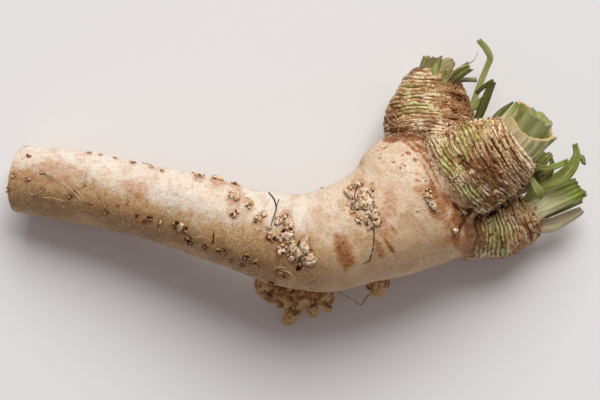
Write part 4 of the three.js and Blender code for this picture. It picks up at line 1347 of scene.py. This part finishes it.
def skin_material():
    """Tan skin, painted cream as light on the side that faces the lamp and darker as shade on its lower
    flank, with fine lines across it, specks, stains, painted shade around and between its buds, and a cut
    end.
    """
    m = Material("skin", roughness=0.42, specular=0.35)
    grain = m.attribute("grain", "Vector")
    across = m.stretched(grain, 0.3, 0.3, 1.5)
    weave = m.stretched(grain, 1.5, 1.5, 0.5)
    pale, belly, stain_and_shade = [m.attribute(name) for name in ("pale", "belly", "stain_and_shade")]
    cream = skin_ground(m, grain, pale, belly)
    skin_flecks(m, grain, across, weave, pale, belly, cream)
    skin_stains(m, grain, stain_and_shade)
    crumbs = m.between(m.noise(grain, 0.55, 5, 0.75), 0.44, 0.58, 0.1, 1.0)
    # Darker near the feet of the heads, in crumbly patches.
    dark_near_heads = m.times(m.attribute("dark_near_heads"), crumbs)
    m.lay(dark_near_heads, (112, 66, 34))

    # Under the leaf scars, dark brown as painted shade where the skin shows between them and green where
    # they are greenish; at the heads' tips and over the cut end.
    crown = m.attribute("crown")
    m.lay(crown, m.mix(m.frayed("green", crumbs, 1, 0.9, 1.7), (48, 26, 12), (108, 100, 48)))
    tip = m.mix(m.patches(m.place(), 300, 4, 0.65, 0.4, 0.62), (206, 172, 122), (150, 104, 62))
    m.lay(m.attribute("tip"), tip)
    cut = m.mix(m.patches(m.place(), 250, 3, 0.55, 0.4, 0.7), (226, 212, 186), (204, 182, 150))
    m.lay(m.attribute("cut"), cut)
    dark_marks = m.add(crown, m.add(stain_and_shade, dark_near_heads))
    m.connect(m.between(dark_marks, 0, 1, 0.42, 0.95), m.shader.inputs["Roughness"])
    m.bump(m.noise(across, 0.9, 6, 0.65), 0.3)
    m.bump(m.noise(weave, 1.0, 5, 0.65), 0.35)
    m.bump(m.noise(m.place(), 900), 0.12)
    return m.done()


def bud_material():
    """Cream and tan buds, with painted shade, dark brown to near black, in their creases and where they meet
    the skin, brown nearer the thin end and painted darker on the side away from the lamp.
    """
    m = Material("buds", roughness=0.6, specular=0.3)
    place = m.place()
    fine = m.noise(place, 1400)
    m.colour = m.mix(m.patches(place, 420, 3, 0.55, 0.35, 0.7), (240, 222, 192), (216, 174, 128))
    # Their own brown nearer the thin end, and painted shade on buds that face away from the lamp.
    m.lay(m.frayed("dull", fine, 0.8, 0.5, 1.2, 0.85), (156, 110, 64))
    m.lay(m.patches(place, 620, 4, 0.65, 0.53, 0.63, 0.7), (118, 72, 38))
    # Painted shade at the foot of the buds.
    m.lay(m.frayed("low", fine, 0.5, 0.6, 1.3, 0.85), (118, 70, 36))
    dull = m.attribute("dull")
    # Painted shade in the creases between buds, deeper and near black on the side away from the lamp.
    meeting = m.add(m.add(m.attribute("meeting"), m.times(fine, 0.5)), m.times(dull, 0.35))
    m.lay(m.between(meeting, 0.6, 1.25), (124, 72, 36))
    m.lay(m.times(m.between(meeting, 0.85, 1.25), m.between(dull, 0.0, 0.45, 0.35, 1.0)), (46, 22, 10))
    m.bump(m.noise(place, 1300, 4), 0.35)
    return m.done()


def thread_material(name, colour, other):
    m = Material(name, roughness=0.7, specular=0.25)
    m.colour = m.mix(m.patches(m.place(), 300, 2, 0.55, 0.35, 0.65), colour, other)
    return m.done()


def shoot_material(name, base, tip, streak, cut, spotted):
    """A ribbed shoot: base colour at its foot, tip colour at its end, streaks, spots and a cut face."""
    m = Material(name, roughness=0.5, specular=0.4)
    fibre = m.attribute("fibre", "Vector")
    m.colour = m.mix(m.frayed("length", m.noise(fibre, 0.6), 0.6, 0.5, 1.25), base, tip)
    m.lay(m.between(m.attribute("rib"), -0.3, 0.9, 0.0, 0.45), streak)
    m.lay(m.patches(fibre, 1.1, 4, 0.6, 0.45, 0.7, 0.45), (84, 84, 38))
    m.lay(m.patches(fibre, 0.8, 4, 0.6, 0.52, 0.64, 0.3), (218, 218, 150))
    m.lay(m.frayed("length", m.noise(fibre, 1.6), 0.3, 1.06, 1.18, 0.7), (86, 74, 36))
    m.lay(m.patches(m.place(), 330, 4, 0.6, 0.58, 0.7, spotted), (120, 84, 50))
    m.lay(m.between(m.attribute("tone"), 0.0, 1.0), (232, 228, 200))
    m.lay(m.between(m.attribute("tone"), 0.0, -1.0), (70, 60, 18))
    m.lay(m.attribute("cut"), m.mix(m.patches(m.place(), 700, 3, 0.55, 0.35, 0.65), cut, (120, 130, 70)))
    m.bump(m.noise(fibre, 2.2, 4), 0.25)
    return m.done()


def sheath_material():
    """Cream ribs outside that turn green on the lower side, a dried rim and pale green flesh inside."""
    m = Material("sheath", roughness=0.5, specular=0.4)
    fibre = m.attribute("fibre", "Vector")
    reach = m.frayed("length", m.noise(fibre, 0.4), 0.5, 0.4, 1.3)
    m.colour = m.mix(reach, (226, 202, 168), (198, 178, 128))
    m.lay(m.frayed("side", m.noise(fibre, 0.5), 0.8, 0.8, 1.2), (158, 164, 78))
    m.lay(m.between(m.attribute("rib"), -0.4, 0.9, 0.0, 0.6), (248, 236, 214))
    m.lay(m.patches(fibre, 0.9, 4, 0.6, 0.5, 0.62, 0.6), (134, 122, 60))
    flesh = m.mix(m.patches(fibre, 0.7, 3, 0.55, 0.35, 0.65), (232, 222, 168), (186, 190, 92))
    m.lay(m.attribute("inner"), flesh)
    m.lay(m.frayed("length", m.noise(m.place(), 500), 0.1, 0.985, 1.03, 0.8), (200, 172, 118))
    m.bump(m.noise(fibre, 1.6, 4), 0.3)
    return m.done()


def bark_material():
    """Corky brown bark, ochre where it has rubbed off, pale at the broken tips and darker in its hollows as
    painted shade.
    """
    m = Material("bark", roughness=0.65, specular=0.3)
    fibre = m.attribute("fibre", "Vector")
    place = m.place()
    m.colour = m.mix(m.patches(fibre, 0.4, 4, 0.6, 0.42, 0.6), (190, 140, 80), (128, 76, 38))
    rubbed = m.add(m.noise(place, 190), m.times(m.attribute("length"), 0.35))
    m.lay(m.between(rubbed, 0.62, 0.76, 0.0, 0.85), (222, 186, 128))
    m.lay(m.patches(place, 600, 5, 0.7, 0.53, 0.65, 0.35), (90, 54, 28))
    # Painted shade in the hollows.
    m.lay(m.frayed("low", m.noise(place, 500), 0.5, 0.6, 1.4, 0.7), (84, 48, 24))
    m.lay(m.times(m.attribute("cut"), 0.7), (214, 188, 144))
    m.bump(m.noise(fibre, 1.4, 5), 0.5)
    return m.done()


def ring_material():
    """Cream, straw and pale green folds and sheets with orange-brown lines and dots, painted highlights on
    their crests and painted shade in their grooves.
    """
    m = Material("rings", roughness=0.7, specular=0.25)
    place = m.place()
    flow = m.attribute("flow", "Vector")
    fine = m.noise(flow, 0.9, 4, 0.65)

    # Cream to green, weathered where the head isn't smooth, and a painted highlight on the crests.
    tint = m.noise(flow, 0.25)
    m.colour = m.mix(m.frayed("tint", tint, 1, 0.1, 1.1), (238, 204, 154), (192, 184, 104))
    m.lay(m.frayed("tint", tint, 1, 1.2, 1.9), (128, 112, 60))
    m.lay(m.patches(flow, 0.5, 4, 0.6, 0.52, 0.62, 0.6), (240, 222, 178))
    rough = m.between(m.attribute("clean"), 0.0, 1.0, 1.0, 0.4)
    m.lay(m.times(m.between(fine, 0.48, 0.58, 0.0, 0.6), rough), (170, 94, 42))
    m.lay(m.patches(m.stretched(flow, 1.0, 0.6, 1.0), 2.0, 2, 0.55, 0.56, 0.63, 0.7), (118, 62, 28))
    # A painted highlight on the crests of the folds and the rims of the sheets.
    bright = m.mix(m.frayed("tint", tint, 1, 0.3, 1.0), (252, 234, 198), (224, 222, 158))
    m.lay(m.frayed("crest", fine, 1, 0.68, 1.05, 0.9), bright)

    # Brown where it is dry and at the rims, and painted shade, brown to near black, in the grooves.
    m.lay(m.times(m.frayed("dry", fine, 1, 0.35, 1.1, 0.8), rough), (142, 88, 48))
    m.lay(m.frayed("rim", fine, 1, 0.7, 1.2, 0.8), (134, 84, 46))
    m.lay(m.frayed("groove", fine, 0.5, 0.3, 0.75, 0.7), (144, 80, 36))
    m.lay(m.between(m.attribute("groove"), 0.35, 0.9), (38, 20, 9))

    # Dots, and skin where the folds have sunk into it.
    fewer = m.between(m.noise(place, 130, 2), 0.4, 0.6, -0.05, 0.0)
    m.lay(m.between(m.add(m.noise(place, 560, 2), fewer), 0.56, 0.62, 0.0, 0.85), (150, 80, 34))
    m.lay(m.patches(place, 430, 4, 0.6, 0.6, 0.66, 0.6), (80, 44, 20))
    skin = m.mix(m.patches(place, 300, 4, 0.65, 0.4, 0.62), (204, 172, 134), (142, 98, 64))
    m.lay(m.frayed("bare", m.noise(place, 200), 1, 0.9, 1.4), skin)
    m.bump(m.noise(flow, 1.2, 5, 0.65), 1.0)
    m.bump(m.noise(place, 700, 4, 0.6), 0.7)
    return m.done()


# ------------------------------------------------------------------ table, light and camera
def add_to_scene(name, data, location):
    piece = bpy.data.objects.new(name, data)
    piece.location = location
    bpy.context.scene.collection.objects.link(piece)
    return piece


def make_table():
    """A pale table."""
    sides = [(-1, -1), (1, -1), (1, 1), (-1, 1)]
    corners = [[TABLE_REACH * x, TABLE_REACH * y, TABLE_LEVEL] for x, y in sides]
    table = new_object("table", corners, [[0, 1, 2, 3]])
    m = Material("table", roughness=0.9, specular=0.1)
    m.colour = paint(236, 236, 236)
    table.data.materials.append(m.done())


def make_lights():
    """Dim light from all around, which the camera sees as a grey wall, and a soft lamp on the +Y side."""
    world = bpy.data.worlds.new("studio")
    bpy.context.scene.world = world
    world.use_nodes = True
    nodes, links = world.node_tree.nodes, world.node_tree.links
    around = nodes["Background"]
    around.inputs["Color"].default_value = (1.0, 0.87, 0.9, 1)
    around.inputs["Strength"].default_value = LIGHT_AROUND
    wall = nodes.new("ShaderNodeBackground")
    wall.inputs["Color"].default_value = (0.7, 0.69, 0.69, 1)
    choose = nodes.new("ShaderNodeMixShader")
    links.new(nodes.new("ShaderNodeLightPath").outputs["Is Camera Ray"], choose.inputs[0])
    links.new(around.outputs[0], choose.inputs[1])
    links.new(wall.outputs[0], choose.inputs[2])
    links.new(choose.outputs[0], nodes["World Output"].inputs["Surface"])

    light = bpy.data.lights.new("key", "AREA")
    light.shape = "DISK"
    light.size = LAMP_WIDTH
    light.energy = LAMP_WATTS
    light.color = (1.0, 1.0, 0.985)
    key = add_to_scene("key", light, LAMP_PLACE)
    key.rotation_euler = (-LAMP_PLACE).to_track_quat("-Z", "Y").to_euler()
    key.visible_camera = False


def make_camera():
    """A camera straight above."""
    camera = bpy.data.cameras.new("camera")
    camera.lens = LENS
    camera.sensor_width = SENSOR
    camera.clip_end = 50
    bpy.context.scene.camera = add_to_scene("camera", camera, CAMERA * MM)
    bpy.context.scene.view_settings.view_transform = "Standard"


# ------------------------------------------------------------------ putting it together
def hand_over(piece, material, nodes=()):
    """A finished piece of the object, in its material, riding on the root."""
    piece.data.materials.clear()
    piece.data.materials.append(material)
    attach(piece, "root")
    if nodes:
        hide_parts(*nodes)


skin = make_skin()
hand_over(skin, skin_material(), ["taproot_and_crown"])
surface = Surface(skin.data)
rings = ring_material()
for letter in HEADS:
    hand_over(crown_rings(surface, letter), rings)

buds = bud_material()
hand_over(make_warts(surface), buds)
hand_over(make_buds(surface), buds)

shoot_materials = {slot: shoot_material(slot, *colours) for slot, colours in SHOOT_COLOURS.items()}
for name, (slot, *shape) in {**STALKS, **LEAF_BITS}.items():
    hand_over(make_shoot(name, *shape), shoot_materials[slot], [name] if name in STALKS else [])
hand_over(make_sheath(), sheath_material(), ["leaf_sheath_b2"])

bark = bark_material()
for name, stations in SIDE_ROOTS.items():
    stub = make_shoot(name, 0.0, 7, 0.7, stations, rib_height=0.3, lumpy=1.3, sunk=-1.6)
    hand_over(stub, bark, [name])
hand_over(make_knobs(), bark)

pale = thread_material("pale_thread", (214, 190, 150), (176, 140, 100))
dark = thread_material("dark_thread", (84, 58, 42), (54, 36, 26))
hand_over(make_threads("pale_threads", PALE_THREADS, surface), pale, ["rootlet_1", "rootlet_2"])
hand_over(make_threads("dark_threads", DARK_THREADS, surface), dark, ["rootlet_3", "rootlet_4"])
for name, (radius, knots) in FREE_THREADS.items():
    heap = Heap()
    thread(heap, knots, radius)
    hand_over(heap.make(name), pale, [name])
hand_over(make_hairs(surface), pale)
make_table()
make_lights()
make_camera()
